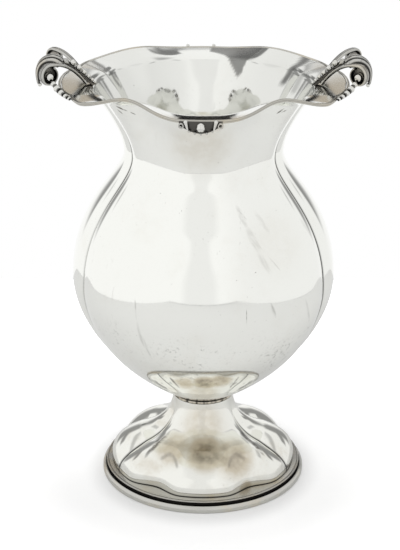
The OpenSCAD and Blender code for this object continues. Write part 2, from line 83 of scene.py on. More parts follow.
# Lobes: angles in degrees from the front, depths in millimetres
CREASE_A = 67
FLUTE_A = 36.5
FLUTE_FRONT_SPREAD = 29
FLUTE_SIDE_SPREAD = 20
CREASE_SPREAD = 13
CREASE_DEPTH = 2.6
RIM_FLUTE_DEPTH = 11
RIM_POWER = 1.5
THROAT_FLUTE_SHARE = 0.5
THROAT_FLUTE_END_SHARE = 0.67
THROAT_FLUTE_EASE = 1.5
RIM_RISE = 5.8
BELLY_FLUTE_DEPTH = 0.6
SIDE_SWELL = 2
SWELL_START = 29
SWELL_SPREAD = 20

# Handles of the curves of bowl, shoulder and throat, as shares of their width and height
BODY_HANDLES = (((0.98, 0.45), (0, 0.06)), ((0, 0.6), (0, 0.22)), ((0, 0.33), (0.3, 0.21)))
# Steps up the body and, in degrees, round it, with finer ones beside a crease
BODY_STEPS = (40, 36, 22, 16)
PLAN_STEP = 1.25
CREASE_STEPS = (0.12, 0.3, 0.55, 0.9, 1.4)
SHARP_ANGLE = math.radians(50)

# Foot
SHOULDER_R = 42
SHOULDER_H = 27
DOME_R = 63.4
LOBE_SWELL = 5.5
LOBE_POWER = 1.2
FOOT_FLUTE_A = 34
FOOT_FLUTE_SPREAD = 20
FOOT_FLUTE_DEPTH = 5.2
FOOT_DRAW = 1
FLANGE_R = 68
FLANGE_T = 1.2
BASE_R = 70.6
BASE_H = 4.6
BASE_BORE = 65
FLANGE_BORE = 54.4
GROOVE_R = 66.8
GROOVE_H = 1.8
FOOT_HANDLES = (((0, 0.55), (0.6, 0.14)), ((0.47, 0.27), (0, 0.45)))
FOOT_STEPS = (30, 30)


def fold(a):
    """Angle from the nearer of front and back, from 0 to 90 degrees."""
    b = np.abs((a + 540) % 360 - 180)
    return np.where(b > 90, 180 - b, b)


def apart(a, b):
    """Signed angle from b to a, from -180 to 180 degrees."""
    return (a - b + 180) % 360 - 180


def smooth(s):
    c = np.clip(s, 0, 1)
    return c * c * (3 - 2 * c)


def ramp(value, low, high):
    """Smooth rise from 0 at low to 1 at high."""
    return smooth((value - low) / (high - low))


def crease(a):
    return np.maximum(0, 1 - np.abs(fold(a) - CREASE_A) / CREASE_SPREAD) ** 2


def wave(d):
    """Smooth wave across a flute, from 0 at d = -1 or 1 to 1 in its middle."""
    return np.where(np.abs(d) < 1, (1 + np.cos(np.pi * d)) / 2, 0)


def flute(a):
    d = fold(a) - FLUTE_A
    return wave(d / np.where(d < 0, FLUTE_FRONT_SPREAD, FLUTE_SIDE_SPREAD))


def foot_flute(a):
    return wave((fold(a) - FOOT_FLUTE_A) / FOOT_FLUTE_SPREAD)


def swell(a):
    return smooth((fold(a) - SWELL_START) / SWELL_SPREAD)


def curve(a, b, c, d, steps):
    """Cubic curve from a to d with handles b and c, without its first point."""
    t = np.linspace(0, 1, steps + 1)[1:, None]
    u = 1 - t
    a, b, c, d = (np.array(p, float) for p in (a, b, c, d))
    return u**3 * a + 3 * u * u * t * b + 3 * u * t * t * c + t**3 * d


def inward(profile):
    """Unit normals of a profile of radius and height, towards the inside of the vase."""
    d = np.gradient(profile, axis=0)
    return np.stack([-d[:, 1], d[:, 0]], 1) / np.linalg.norm(d, axis=1)[:, None]


def polar(a, r, z):
    t = np.radians(a)
    return np.stack([r * np.sin(t), -r * np.cos(t), z + 0 * t], -1)


def plan_angles():
    """Even steps round the vase, with finer ones across each crease."""
    creases = (CREASE_A, 180 - CREASE_A, 180 + CREASE_A, 360 - CREASE_A)
    near = {c + sign * step for c in creases for step in CREASE_STEPS for sign in (-1, 0, 1)}
    return np.array(sorted({PLAN_STEP * i for i in range(round(360 / PLAN_STEP))} | near))


ANGLES = plan_angles()


def curved(points, handles, steps):
    """Curves through points of radius and height.

    handles holds both handles of each curve, as shares of its width and height from its ends.
    """
    points = np.array(points, float)
    rows = [points[:1]]
    for start, end, (out, back), count in zip(points, points[1:], handles, steps):
        way = end - start
        rows.append(curve(start, start + out * way, end - back * way, end, count))
    return np.concatenate(rows)


def body_profile():
    low_z, lip_z = STEM_H + COLLAR_H + 2 * SOLDER, RIM_H - LIP_DROP
    lip_rise = LIP_DROP - WALL / 2
    lip_handles = ((0.12, 0.65 * LIP_DROP / lip_rise), (0.4, WALL / 2 / lip_rise))
    return curved([(STEM_R, low_z), (BELLY_R, BELLY_H), (NECK_R, NECK_H), (LIP_R, lip_z),
                   (EDGE_R, RIM_H - WALL / 2)], [*BODY_HANDLES, lip_handles], BODY_STEPS)


BODY = body_profile()


def rim_share(z):
    return smooth((z - NECK_H) / (RIM_H - NECK_H)) ** RIM_POWER


def bowl_share(z):
    return smooth((z - BODY[0, 1]) / (BELLY_H - BODY[0, 1]))


def lip_share(p):
    """Share of the rim's rise: it gathers in the lip and fades out in the throat."""
    out = np.maximum(0, (p[:, 0] - NECK_R) / (EDGE_R - NECK_R)) ** RIM_POWER
    return np.where(p[:, 1] < NECK_H, 0, out)


def rim_flute_share(p):
    """Share of the flutes' depth: the first half comes low in the throat, the rest in the lip."""
    up = smooth((p[:, 1] - NECK_H) / (THROAT_FLUTE_END_SHARE * (RIM_H - NECK_H)))
    up = up**THROAT_FLUTE_EASE
    return lip_share(p) * (1 - THROAT_FLUTE_SHARE) + up * THROAT_FLUTE_SHARE


def body_rows(a, inner):
    """Points of the body: one row for each height, one column for each azimuth."""
    p = BODY + WALL * inward(BODY) if inner else BODY
    z = BODY[:, 1][:, None]
    lip, share = lip_share(BODY)[:, None], bowl_share(z)
    depth = RIM_FLUTE_DEPTH * rim_flute_share(BODY)[:, None] + BELLY_FLUTE_DEPTH * share
    r = (p[:, 0][:, None] + SIDE_SWELL * rim_share(z) * swell(a)
         - CREASE_DEPTH * share * crease(a) - depth * flute(a))
    return polar(a, r, p[:, 1][:, None] + RIM_RISE * lip * flute(a))


def rim_line(a):
    """Radius and height of the middle of the body's edge, under the rim wire."""
    low, high = body_rows(a, False)[-1], body_rows(a, True)[-1]
    return np.hypot(low[:, 0], low[:, 1]), (low[:, 2] + high[:, 2]) / 2


def foot_profile():
    dome_z = BASE_H + GROOVE_H + FLANGE_T + 2 * SOLDER
    return curved([(STEM_R, STEM_H), (SHOULDER_R, SHOULDER_H), (DOME_R, dome_z)],
                  FOOT_HANDLES, FOOT_STEPS)


FOOT = foot_profile()


def foot_rows(a, inner):
    """Points of the foot: one row for each height from the stem down, one column per azimuth."""
    along = np.linspace(0, 1, len(FOOT))
    lobe = 1 - np.maximum(0, 1 - np.abs(fold(a) - CREASE_A) / (90 - CREASE_A)) ** 2
    stand = LOBE_SWELL * np.sin(np.pi * along**LOBE_POWER)[:, None] * lobe
    if inner:
        stand = stand - WALL
    p = FOOT[:, None] + stand[..., None] * inward(FOOT)[:, None]
    p[[0, -1], :, 1] = FOOT[[0, -1], 1:]
    draw = FOOT_DRAW * (1 - swell(a)) + FOOT_FLUTE_DEPTH * foot_flute(a)
    return polar(a, p[..., 0] - smooth(along)[:, None] * draw, p[..., 1])


def grid_faces(rows, columns, close_rows):
    """Quads between the rows of a grid that closes on itself across each row."""
    last = rows if close_rows else rows - 1
    return [(k * columns + i, k * columns + (i + 1) % columns,
             (k + 1) % rows * columns + (i + 1) % columns, (k + 1) % rows * columns + i)
            for k in range(last) for i in range(columns)]


def capped(rows):
    """Faces of a grid with both its ends closed."""
    n = rows.shape[1]
    last = (len(rows) - 1) * n
    caps = [tuple(range(n - 1, -1, -1)), tuple(range(last, last + n))]
    return grid_faces(len(rows), n, False) + caps


def add_object(name, data):
    thing = bpy.data.objects.new(name, data)
    bpy.context.scene.collection.objects.link(thing)
    return thing


def add_piece(name, points, faces, material, slot, nodes=(), dirt_and_shade=None):
    """Adds a smooth mesh that rides on the body and stands for the named solids."""
    mesh = bpy.data.meshes.new(name)
    mesh.from_pydata([tuple(p) for p in np.asarray(points, float).reshape(-1, 3) * MM], [], faces)
    bm = bmesh.new()
    bm.from_mesh(mesh)
    bmesh.ops.recalc_face_normals(bm, faces=bm.faces)
    for face in bm.faces:
        face.smooth = True
    bm.to_mesh(mesh)
    bm.free()
    values = np.zeros(len(mesh.vertices), np.float32)
    if dirt_and_shade is not None:
        values[:] = np.asarray(dirt_and_shade, np.float32).reshape(-1)[: len(values)]
    mesh.attributes.new("dirt_and_shade", "FLOAT", "POINT").data.foreach_set("value", values)
    mesh.set_sharp_from_angle(angle=SHARP_ANGLE)
    mesh.materials.append(material)
    piece = add_object(name, mesh)
    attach(piece, "root")
    if nodes:
        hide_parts(*nodes)


def around(values, columns):
    """One value for each row of a grid, repeated along the row."""
    return np.repeat(np.array(values, float)[:, None], columns, 1)


LATHE_ANGLES = np.linspace(0, 360, 240, endpoint=False)


def add_turned(name, profile, material, slot, node, dirt_and_shade):
    """Adds a closed loop of radius and height turned round the axis."""
    rows = np.stack([polar(LATHE_ANGLES, r, z) for r, z in profile])
    add_piece(name, rows, grid_faces(len(rows), len(LATHE_ANGLES), True), material, slot, [node],
              dirt_and_shade)


def arc(r, z, radius, start, end, steps):
    t = np.radians(np.linspace(start, end, steps + 1))
    return [(r + radius * math.cos(u), z + radius * math.sin(u)) for u in t]


def circle(steps):
    return np.linspace(0, 2 * math.pi, steps, endpoint=False)


def add_node(kind, inputs, tree=None, **settings):
    """Adds a shader node, sets its properties, sets or links its inputs, and gives its outputs.

    It goes into the given tree or into that of its linked inputs.
    """
    sockets = [v for v in inputs.values() if isinstance(v, bpy.types.NodeSocket)]
    tree = tree or sockets[0].id_data
    node = tree.nodes.new("ShaderNode" + kind)
    for key, value in settings.items():
        setattr(node, key, value)
    for key, value in inputs.items():
        if isinstance(value, bpy.types.NodeSocket):
            tree.links.new(value, node.inputs[key])
        else:
            node.inputs[key].default_value = value
    return node.outputs


def math_node(operation, *values, clamp=False):
    return add_node("Math", dict(enumerate(values)), operation=operation, use_clamp=clamp)[0]


def times(a, b):
    return math_node("MULTIPLY", a, b)


def most(a, b):
    return math_node("MAXIMUM", a, b)


def without(a):
    """What is left of 1 without a."""
    return math_node("SUBTRACT", 1.0, a)


def remap(value, low, high, to_low=0.0, to_high=1.0):
    """Smooth change from to_low to to_high while the value goes from low to high."""
    return add_node("MapRange", {"Value": value, "From Min": low, "From Max": high,
                                 "To Min": to_low, "To Max": to_high},
                    interpolation_type="SMOOTHSTEP")["Result"]


def noise(vector, scale, detail=2, rough=0.5):
    return add_node("TexNoise", {"Vector": vector, "Scale": scale, "Detail": detail,
                                 "Roughness": rough})["Fac"]


def mask(vector, scale, detail, rough, *ramp_values):
    """Noise made into a mask, by its values where the mask starts and is full, and its range."""
    return remap(noise(vector, scale, detail, rough), *ramp_values)


def mix_color(factor, a, b):
    color_a, color_b, result = 6, 7, 2
    return add_node("Mix", {0: factor, color_a: a, color_b: b}, data_type="RGBA")[result]


def new_tree(owner):
    """Empty node tree of a material or world, with its texture coordinates."""
    owner.use_nodes = True
    owner.node_tree.nodes.clear()
    return owner.node_tree, add_node("TexCoord", {}, owner.node_tree)


BRIGHT = (0.93, 0.935, 0.895, 1)
WARM = (0.62, 0.56, 0.45, 1)
DEEP = (0.15, 0.128, 0.09, 1)
MARKED = (0.17, 0.16, 0.14, 1)
# Black of dirt and of shade painted into creases, grooves, hollows and undersides
BLACK_DIRT_AND_SHADE = (0.014, 0.013, 0.012, 1)

# Film at which the metal has gone warm, and from where to where it goes on to dark brown
WARM_AT, DEEP_FADE = 0.55, (0.45, 1)
# Openness of a hollow from which it darkens, and at which it is black, as tarnish and painted shade
HOLLOW_FADE = (0.8, 0.35)
# Roughness added by the film, by uneven polish and by dirt and painted shade
FILM_ROUGH, POLISH_ROUGH, DIRT_ROUGH = 0.12, 0.03, 0.3
# Masks: scale, detail and roughness of the noise, its values where they start and are full,
# and their range. Film first, then drips, specks, the grain that breaks strokes up, and dirt
CLOUDS, RAGGED = (35, 4, 0.6, 0.42, 0.78), (130, 4, 0.6, 0.3, 0.65, 0.7, 1)
DRIP_LINES, DRIP_GROUPS = (1, 3, 0.6, 0.64, 0.76, 0, 0.25), (22, 2, 0.5, 0.46, 0.66)
SPECK_DOTS = (900, 1, 0.5, 0.76, 0.82, 0, 0.5)
GRAIN = (1, 3, 0.6, 0.36, 0.6, 0.3, 1)
GRIME_CLUMPS, GRIME_FINE = (42, 3, 0.6, 0.5, 0.64, 0.12, 0.7), (420, 5, 0.75, 0.52, 0.68)
# Uneven polish, slow waves and fine grain of the relief: scale, detail and roughness
POLISH, SLOW, FINE = (260, 3, 0.6), (16, 1), (1500, 2)
# Stretch of the drips' noise; turn and size in metres of the grain that breaks strokes up
DRIP_SCALE = (420, 420, 26)
GRAIN_TURN, GRAIN_SIZE = (0, -0.45, 0), (0.0022, 0.0022, 0.016)
# Belt of fine dirt: where it starts and is full below its middle, and full and gone above it
GRIME_BELT = (-28, -14, 4, 26)
# Hammer marks for each metre, height of the slow waves over theirs, and height of the grain
HAMMER_SCALE, SLOW_WAVES, GRAIN_HEIGHT = 75, 4, 0.0004


def spot(coords, centre, radius, core=0.25):
    """Soft round mask about a point in millimetres; core is the share of full strength."""
    away = add_node("VectorMath", {0: coords, 1: Vector(centre) * MM}, operation="DISTANCE")
    return remap(away["Value"], radius * MM, radius * MM * core)


def stroke(coords, start, end, width, core=0.4):
    """Thin soft mark between two points of the vase in millimetres, thickest in its middle."""
    start, end = Vector(start) * MM, Vector(end) * MM
    local = add_node("Mapping", {"Vector": coords, "Location": (start + end) / 2,
                                 "Rotation": (end - start).to_track_quat("X", "Z").to_euler(),
                                 "Scale": ((end - start).length / 2, width * MM, width * MM)},
                     vector_type="TEXTURE")
    return remap(add_node("VectorMath", {0: local[0]}, operation="LENGTH")["Value"], 1, core)


def film_mask(coords, amount, spots):
    """Film that dulls and warms the metal: thin clouds all over and ragged spots, some of them a
    painted reflection.
    """
    film = math_node("MULTIPLY", mask(coords, *CLOUDS), amount, clamp=True)
    ragged = mask(coords, *RAGGED)
    for centre, radius, strength in spots:
        film = most(film, times(times(spot(coords, centre, radius), strength), ragged))
    return film


def drip_mask(coords):
    """Faint drips that run down in groups, and small dark specks."""
    stretched = add_node("Mapping", {"Vector": coords, "Scale": DRIP_SCALE})[0]
    drips = times(mask(stretched, *DRIP_LINES), mask(coords, *DRIP_GROUPS))
    return most(drips, mask(coords, *SPECK_DOTS))


def stroke_mask(coords, marks, strokes):
    """Adds placed marks, broken up by a slanting grain."""
    grain_way = add_node("Mapping", {"Vector": coords, "Rotation": GRAIN_TURN,
                                     "Scale": GRAIN_SIZE}, vector_type="TEXTURE")[0]
    broken = mask(grain_way, *GRAIN)
    for start, end, width, depth in strokes:
        marks = most(marks, times(times(stroke(coords, start, end, width), depth), broken))
    return marks


def grime_mask(coords, middle):
    """Fine dirt in clumps, on a belt about one height."""
    height = add_node("SeparateXYZ", {0: coords})[2]
    low, full_low, full_high, high = ((middle + step) * MM for step in GRIME_BELT)
    belt = times(remap(height, low, full_low), remap(height, high, full_high))
    return times(times(mask(coords, *GRIME_FINE), mask(coords, *GRIME_CLUMPS)), belt)


def relief(coords, height):
    """Normals of hammer marks about a centimetre wide, on slower waves, with a fine grain."""
    dents = add_node("TexVoronoi", {"Vector": coords, "Scale": HAMMER_SCALE, "Smoothness": 1},
                     feature="SMOOTH_F1")["Distance"]
    below = {}
    for field, depth in ((noise(coords, *SLOW), height * SLOW_WAVES), (dents, height),
                         (noise(coords, *FINE), GRAIN_HEIGHT)):
        normal = add_node("Bump", {"Height": field, "Strength": 1, "Distance": depth * MM,
                                   **below})[0]
        below = {"Normal": normal}
    return normal


def silver(name, clean, roughness, hammering, tarnish, recess=0, spots=(), strokes=(), grime=0):
    """Polished silver with warm film, dark marks, and black where the mesh holds dirt and painted
    shade.

    hammering is the height of the hammer marks in millimetres, tarnish the amount of film all
    over, recess the distance over which hollows blacken as tarnish and painted shade, spots the
    places where film gathers and, on the foot, where a reflection is painted, strokes the thin
    dark marks, some of them painted shade, and grime the height about which fine dirt clings.
    """
    material = bpy.data.materials.new(name + "_silver")
    tree, places = new_tree(material)
    coords = places["Object"]
    film = film_mask(coords, tarnish, spots)
    color = mix_color(remap(film, 0, WARM_AT), clean, WARM)
    color = mix_color(remap(film, *DEEP_FADE), color, DEEP)
    marks = stroke_mask(coords, drip_mask(coords), strokes)
    if grime:
        marks = most(marks, grime_mask(coords, grime))
    color = mix_color(marks, color, MARKED)
    # Black from the mesh's dirt and painted shade, and in hollows from occlusion, as tarnish and
    # painted shade
    dirt_and_shade = add_node("Attribute", {}, tree, attribute_name="dirt_and_shade")["Fac"]
    if recess:
        near = add_node("AmbientOcclusion", {"Distance": recess * MM}, tree, samples=8)["AO"]
        dirt_and_shade = most(dirt_and_shade, remap(near, *HOLLOW_FADE))
    rough = math_node("MULTIPLY_ADD", film, FILM_ROUGH, roughness)
    rough = math_node("MULTIPLY_ADD", noise(coords, *POLISH), POLISH_ROUGH, rough)
    rough = math_node("MULTIPLY_ADD", dirt_and_shade, DIRT_ROUGH, rough)
    shader = add_node("BsdfPrincipled", {"Base Color": mix_color(dirt_and_shade, color, BLACK_DIRT_AND_SHADE),
                                         "Metallic": 1, "Roughness": rough,
                                         "Normal": relief(coords, hammering)})
    add_node("OutputMaterial", {"Surface": shader[0]})
    return material


# Spots of film: centre, radius and strength. Those of the foot are a painted reflection of the
# body's shaded underside, in brown
BODY_SPOTS = [((-2, -60, 254), 34, 0.25), ((3, -76, 268), 24, 0.42), ((0, -24, 66), 30, 0.3),
              ((-88, 0, 280), 16, 0.2), ((88, 0, 280), 16, 0.12), ((45, -62, 190), 36, 0.12)]
FOOT_REFLECTION_SPOTS = [((2, -43, 31), 22, 0.75), ((-20, -38, 33), 22, 0.52), ((19, -43, 28), 24, 0.62),
              ((0, -28, 44), 26, 0.35), ((30, -52, 9), 9, 0.6)]

# Marks on the body and the foot: angle and height of both ends, half width and strength
LIP_MARKS = [((-52, 276.4), (-46, 272.7), 0.9, 1), ((-52, 274), (-50, 270), 0.7, 1),
             ((-46, 272.7), (-43, 270.5), 0.5, 0.9), ((48, 275.6), (45, 271), 0.8, 1),
             ((50, 274), (47, 272), 0.6, 0.9)]
RUBBED = [((19, 217), (23, 201), 2.5, 0.2), ((22, 205), (27, 186), 3.5, 0.18),
          ((25, 190), (31, 172), 3, 0.15), ((29, 212), (35, 196), 2.5, 0.12),
          ((58, 201), (63, 184), 3, 0.15)]
SCRATCHES = [((20, 213), (24, 206), 0.5, 0.35), ((25, 196), (29, 188), 0.5, 0.2),
             ((30, 186), (36, 174), 0.8, 0.25), ((1, 151), (3, 130), 0.35, 0.35)]
DRIPS = [((-30, 161), (-29, 143), 0.9, 0.35), ((-29, 145), (-27, 122), 2, 0.35),
         ((-27, 135), (-25, 112), 1.6, 0.3), ((18, 156), (18, 144), 0.45, 0.8),
         ((29, 157), (32, 144), 1.6, 0.4), ((48, 153), (54, 130), 2, 0.35)]
SPECKS = [((23, 177.6), (23.2, 176.8), 0.7, 0.9), ((14, 174.3), (14.2, 173.5), 0.6, 0.7)]
# Streaks on the foot are painted shade beside its creases and along its lower edge, with some
# tarnish
FOOT_SHADE_STREAKS = [((-47, 38), (-45, 31), 2.2, 0.6), ((-45, 34), (-47, 25), 2.6, 0.95),
                ((56, 37), (50, 30), 2.4, 0.9), ((51, 33), (50, 24), 2.4, 0.9),
                ((-78, 8.2), (-62, 12.5), 1.6, 0.9), ((62, 12.5), (76, 8.2), 1.6, 0.9)]
GRIME_H = 117


def place_on(shell_rows, angle, height):
    """Point on the outside of the body or foot at an angle from the front and a height."""
    rows = shell_rows(np.array([float(angle)]), False)[:, 0]
    rows = rows if rows[-1, 2] > rows[0, 2] else rows[::-1]
    return [float(np.interp(height, rows[:, 2], rows[:, k])) for k in (0, 1)] + [height]


def placed(shell_rows, marks):
    return [(place_on(shell_rows, *start), place_on(shell_rows, *end), width, depth)
            for start, end, width, depth in marks]


BODY_MARKS = placed(body_rows, LIP_MARKS + RUBBED + SCRATCHES + DRIPS + SPECKS)
BODY_SILVER = silver("body", BRIGHT, 0.05, 0.03, 0.12, spots=BODY_SPOTS, strokes=BODY_MARKS,
                     grime=GRIME_H)
FOOT_SILVER = silver("foot", (0.88, 0.88, 0.83, 1), 0.07, 0.02, 0.3, spots=FOOT_REFLECTION_SPOTS,
                     strokes=placed(foot_rows, FOOT_SHADE_STREAKS))
FLANGE_SILVER = silver("flange", (0.62, 0.605, 0.56, 1), 0.14, 0.02, 0.8, 2)
RING_SILVER = silver("ring", (0.57, 0.565, 0.53, 1), 0.18, 0.02, 0.6)
WIRE_SILVER = silver("wire", (0.54, 0.525, 0.475, 1), 0.16, 0.006, 0.6, 0.8)
COLLAR_SILVER = silver("collar", (0.72, 0.67, 0.58, 1), 0.25, 0.01, 1, 2.5)
CAST_SILVER = silver("cast", (0.52, 0.515, 0.485, 1), 0.12, 0.01, 0.4, 3.5)
BEAD_SILVER = silver("bead", (0.74, 0.735, 0.7, 1), 0.12, 0.01, 0.3, 1.1)
# The horns' cups are dark for the shade inside them: painted shade
CUP_SHADE_SILVER = silver("cup", (0.26, 0.25, 0.23, 1), 0.25, 0.01, 0.2, 3)
# Near-black silver; on the strap and the bead seats it is painted shade under the beads and the
# horns' tails
DARK_SILVER = silver("dark", (0.09, 0.086, 0.078, 1), 0.3, 0.01, 0.2, 3)

# Painted reflections as grey streaks in the flutes inside the lip: radii and angles of its middle,
# half width, strength
FLUTE_REFLECTIONS = [((64, 69, 78, 90), (126, 124.5, 125.5, 129), 2.4, 0.8),
                 ((63, 69, 77, 89), (110, 111, 111, 114), 2.6, 0.45),
                 ((63.5, 67, 73, 91), (-121, -118.5, -118.5, -125), 1.6, 0.65),
                 ((63.5, 70, 75, 90), (-114, -112, -114, -119), 0.8, 0.5)]
# Distances below and above a streak's first radius between which it fades in
STREAK_FADE = (-1, 2)
# Faint grey inside the lip: strength at front and back, what the sides have more, and the angle
LIP_HAZE = 0.06
SIDE_HAZE = 0.1
SIDE_HAZE_A = 50
# Painted dark reflection on the back of the lip: angles, the radius where it ends at each, and its
# fade
PATCH_ANGLES = (150, 152, 155, 158, 164, 169, 177)
PATCH_RADII = (80, 72, 65, 63.5, 68, 74, 80)
PATCH_FADE = 2
PATCH_STRENGTH = 0.7

# Black line in each crease, painted shade with some tarnish: half width in degrees, heights where
# it fades in and where it ends
CREASE_LINE_W = 0.7
CREASE_LINE_IN = (85, 155)
CREASE_LINE_OUT = (238, 264)
# Share of it that is gone from the lower part of the left creases, and where that ends
LEFT_CREASE_FADE = 0.6
LEFT_CREASE_FADE_OUT = (185, 225)


def lip_haze_and_reflections(a):
    """Darkening inside the lip for each row of the profile and each angle: faint grey, and painted
    reflections in the flutes and on the back.
    """
    reach = BODY[:, 0]
    above = BODY[:, 1] > NECK_H
    dirt_and_shade = above[:, None] * (LIP_HAZE + SIDE_HAZE * smooth(fold(a) / SIDE_HAZE_A))
    for radii, middles, spread, strength in FLUTE_REFLECTIONS:
        off = apart(a, np.interp(reach, radii, middles)[:, None])
        share = above * ramp(reach, radii[0] + STREAK_FADE[0], radii[0] + STREAK_FADE[1])
        dirt_and_shade = np.maximum(dirt_and_shade, strength * share[:, None] * np.exp(-((off / spread) ** 4)))
    low = np.interp(a, PATCH_ANGLES, PATCH_RADII, left=MOUTH_R, right=MOUTH_R)
    patch = above[:, None] * ramp(reach[:, None], low, low + PATCH_FADE)
    return np.maximum(dirt_and_shade, PATCH_STRENGTH * patch)


def crease_line(a, half_w):
    return np.exp(-(((fold(a) - CREASE_A) / half_w) ** 2))[None]


def add_body():
    a = ANGLES
    outer, inner = body_rows(a, False), body_rows(a, True)[:0:-1]
    floor = polar(a, np.full_like(a, STEM_R), BODY[0, 1] + WALL)[None]
    rows = np.concatenate([outer, inner, floor])
    z = rows[:, :1, 2]
    # The crease line is painted shade with some tarnish, fainter low on the left
    depth = ramp(z, *CREASE_LINE_IN) * (1 - ramp(z, *CREASE_LINE_OUT))
    left = np.where(a > 180, 1, 0)[None] * (1 - ramp(z, *LEFT_CREASE_FADE_OUT))
    dirt_and_shade = crease_line(a, CREASE_LINE_W) * depth * (1 - LEFT_CREASE_FADE * left)
    # Inside the lip go faint grey and painted reflections
    dirt_and_shade[len(outer):-1] = np.maximum(dirt_and_shade[len(outer):-1], lip_haze_and_reflections(a)[:0:-1])
    add_piece("vase_body", rows, capped(rows), BODY_SILVER, "polished_silver", ["body_shell"], dirt_and_shade)


def scribed(turn, places, spread):
    """Lines along a wire or band at some angles round it, given for angles turn in degrees."""
    return sum(np.exp(-(apart(turn, place) / spread) ** 2) for place in places)


# Two lines along the rim wire: angles round it, width in degrees, depth share and dirt
WIRE_LINES = (62, 5)
WIRE_LINE_W = 9
WIRE_LINE_DEPTH = 0.14
WIRE_LINE_DIRT = 0.55


def add_rim_wire():
    """Half-round wire with two fine lines scribed along it."""
    a = ANGLES
    edge, z = rim_line(a)
    r = edge + WIRE_R + SOLDER
    turn = np.linspace(0, 360, 36, endpoint=False)
    line = scribed(turn, WIRE_LINES, WIRE_LINE_W)
    wire = WIRE_R * (1 - WIRE_LINE_DEPTH * line)
    rows = np.stack([polar(a, r + w * math.cos(u), z + w * math.sin(u))
                     for w, u in zip(wire, np.radians(turn))])
    add_piece("rim_moulding", rows, grid_faces(len(turn), len(a), True), WIRE_SILVER,
              "worn_silver", ["rim_wire"], around(WIRE_LINE_DIRT * line, len(a)))


# Black line in the foot's creases, painted shade with some tarnish, and dirt in its seam, by the
# share of the way down
FOOT_LINE_W = 0.9
FOOT_LINE_IN = (0.1, 0.35)
FOOT_SEAM_IN = (0.985, 1)
FOOT_SEAM_DIRT = 0.95


def add_foot():
    a = ANGLES
    outer, inner = foot_rows(a, False), foot_rows(a, True)[::-1]
    rows = np.concatenate([outer, inner])
    along = np.linspace(0, 1, len(outer))
    along = np.concatenate([along, along[::-1]])[:, None]
    # The crease line is painted shade with some tarnish
    line = crease_line(a, FOOT_LINE_W) * ramp(along, *FOOT_LINE_IN)
    dirt_and_shade = np.maximum(line, FOOT_SEAM_DIRT * ramp(along, *FOOT_SEAM_IN))
    add_piece("foot_shell", rows, grid_faces(len(rows), len(a), True), FOOT_SILVER,
              "polished_silver", ["foot_dome"], dirt_and_shade)


# Fine groove inside the flange's bead: steps inwards, steps down, and the dirt at each
FLANGE_GROOVE = ((0, 0.22, 0.9), (0.3, 0.05, 0.5), (0.5, 0, 0.2))
FLANGE_FLAT = 2
FLANGE_DIRT = 0.3


def add_flange():
    """Flat flange with a bead at its edge and a fine groove inside the bead."""
    low = BASE_H + GROOVE_H + SOLDER
    top = low + FLANGE_T
    bead = FLANGE_T / 2
    profile = [(FLANGE_BORE, low), (FLANGE_R - FLANGE_FLAT, low)]
    profile += arc(FLANGE_R - bead, low + bead, bead, -90, 90, 12)
    marks = [FLANGE_DIRT] * len(profile)
    profile += [(FLANGE_R - 2 * bead - back, top - down) for back, down, _ in FLANGE_GROOVE]
    marks += [dirt_and_shade for _, _, dirt_and_shade in FLANGE_GROOVE]
    add_turned("foot_plate", profile + [(FLANGE_BORE, top)], FLANGE_SILVER, "polished_silver",
               "foot_flange", around(marks + [FLANGE_DIRT], len(LATHE_ANGLES)))


# Base ring: radii of its lower and upper edge, its bulge as inset and height, its upper rim
RING_LOW_R = 0.7
RING_TOP_R = 0.75
RING_BULGE = ((0, 1.6), (0.05, 2.6), (0.35, 3.5))
RING_TOP_INSET = 1.9
# The groove and the ring's lip beside it are painted black for the groove's shadow, with some oxide
GROOVE_LIP = ((2.1, 0.1), (BASE_R - GROOVE_R - 0.2, 0.2), (BASE_R - GROOVE_R, 0))
GROOVE_LIP_SHADE = 0.7


def add_base_ring():
    """Heavy ring with a bulging edge, under a groove painted black for its shadow, with some oxide.
    """
    profile = [(BASE_BORE, 0)] + arc(BASE_R - RING_LOW_R, RING_LOW_R, RING_LOW_R, -90, -8, 5)
    profile += [(BASE_R - inset, z) for inset, z in RING_BULGE]
    profile += arc(BASE_R - RING_TOP_INSET, BASE_H - RING_TOP_R, RING_TOP_R, 30, 90, 5)
    clean = len(profile) - 1
    profile += [(BASE_R - inset, BASE_H - down) for inset, down in GROOVE_LIP]
    profile += [(GROOVE_R, BASE_H + GROOVE_H), (BASE_BORE, BASE_H + GROOVE_H)]
    # Rows of the groove are painted black for its shadow
    marks = [0] * clean + [GROOVE_LIP_SHADE] + [1] * (len(profile) - clean - 1)
    add_turned("base_moulding", profile, RING_SILVER, "worn_silver", "base_ring",
               around(marks, len(LATHE_ANGLES)))


# Handles, drawn for the right side with the front half at -Y
HUB = Vector((98, 0, RIM_H + 7.2))
HOOK_R = 10.8
HOOK_T = 1.8
HOOK_HALF_W = 9.2
HOOK_START, HOOK_END = 134, -40
HOOK_TAPER, HOOK_TAPER_POWER = 0.75, 1.6
HOOK_FLARE, HOOK_FLARE_POWER = 0.24, 8
HOOK_CROWN = 0.28
HOOK_INSIDE_DARK = 0.85
REEDS, REED_H, REED_POWER = 4, 0.9, 1.6
REED_DARK, REED_DARK_IN = 0.95, (0.2, 0.65)
TONGUE_W, TONGUE_T = 4, 1.6
TONGUE_BEND = (0.55, 0.58)
TONGUE_POWERS = (0.5, 0.6)
DROP_R = 1.4

# Scrolls: the ring's centre, size, start, sweep and shrink, and its turn towards the front
SCROLL_C = Vector((98.4, -22, RIM_H + 10))
SCROLL_R = 6.3
SCROLL_START, SCROLL_SWEEP, SCROLL_SHRINK = 90, 335, 0.2
SCROLL_TURN = math.radians(40)
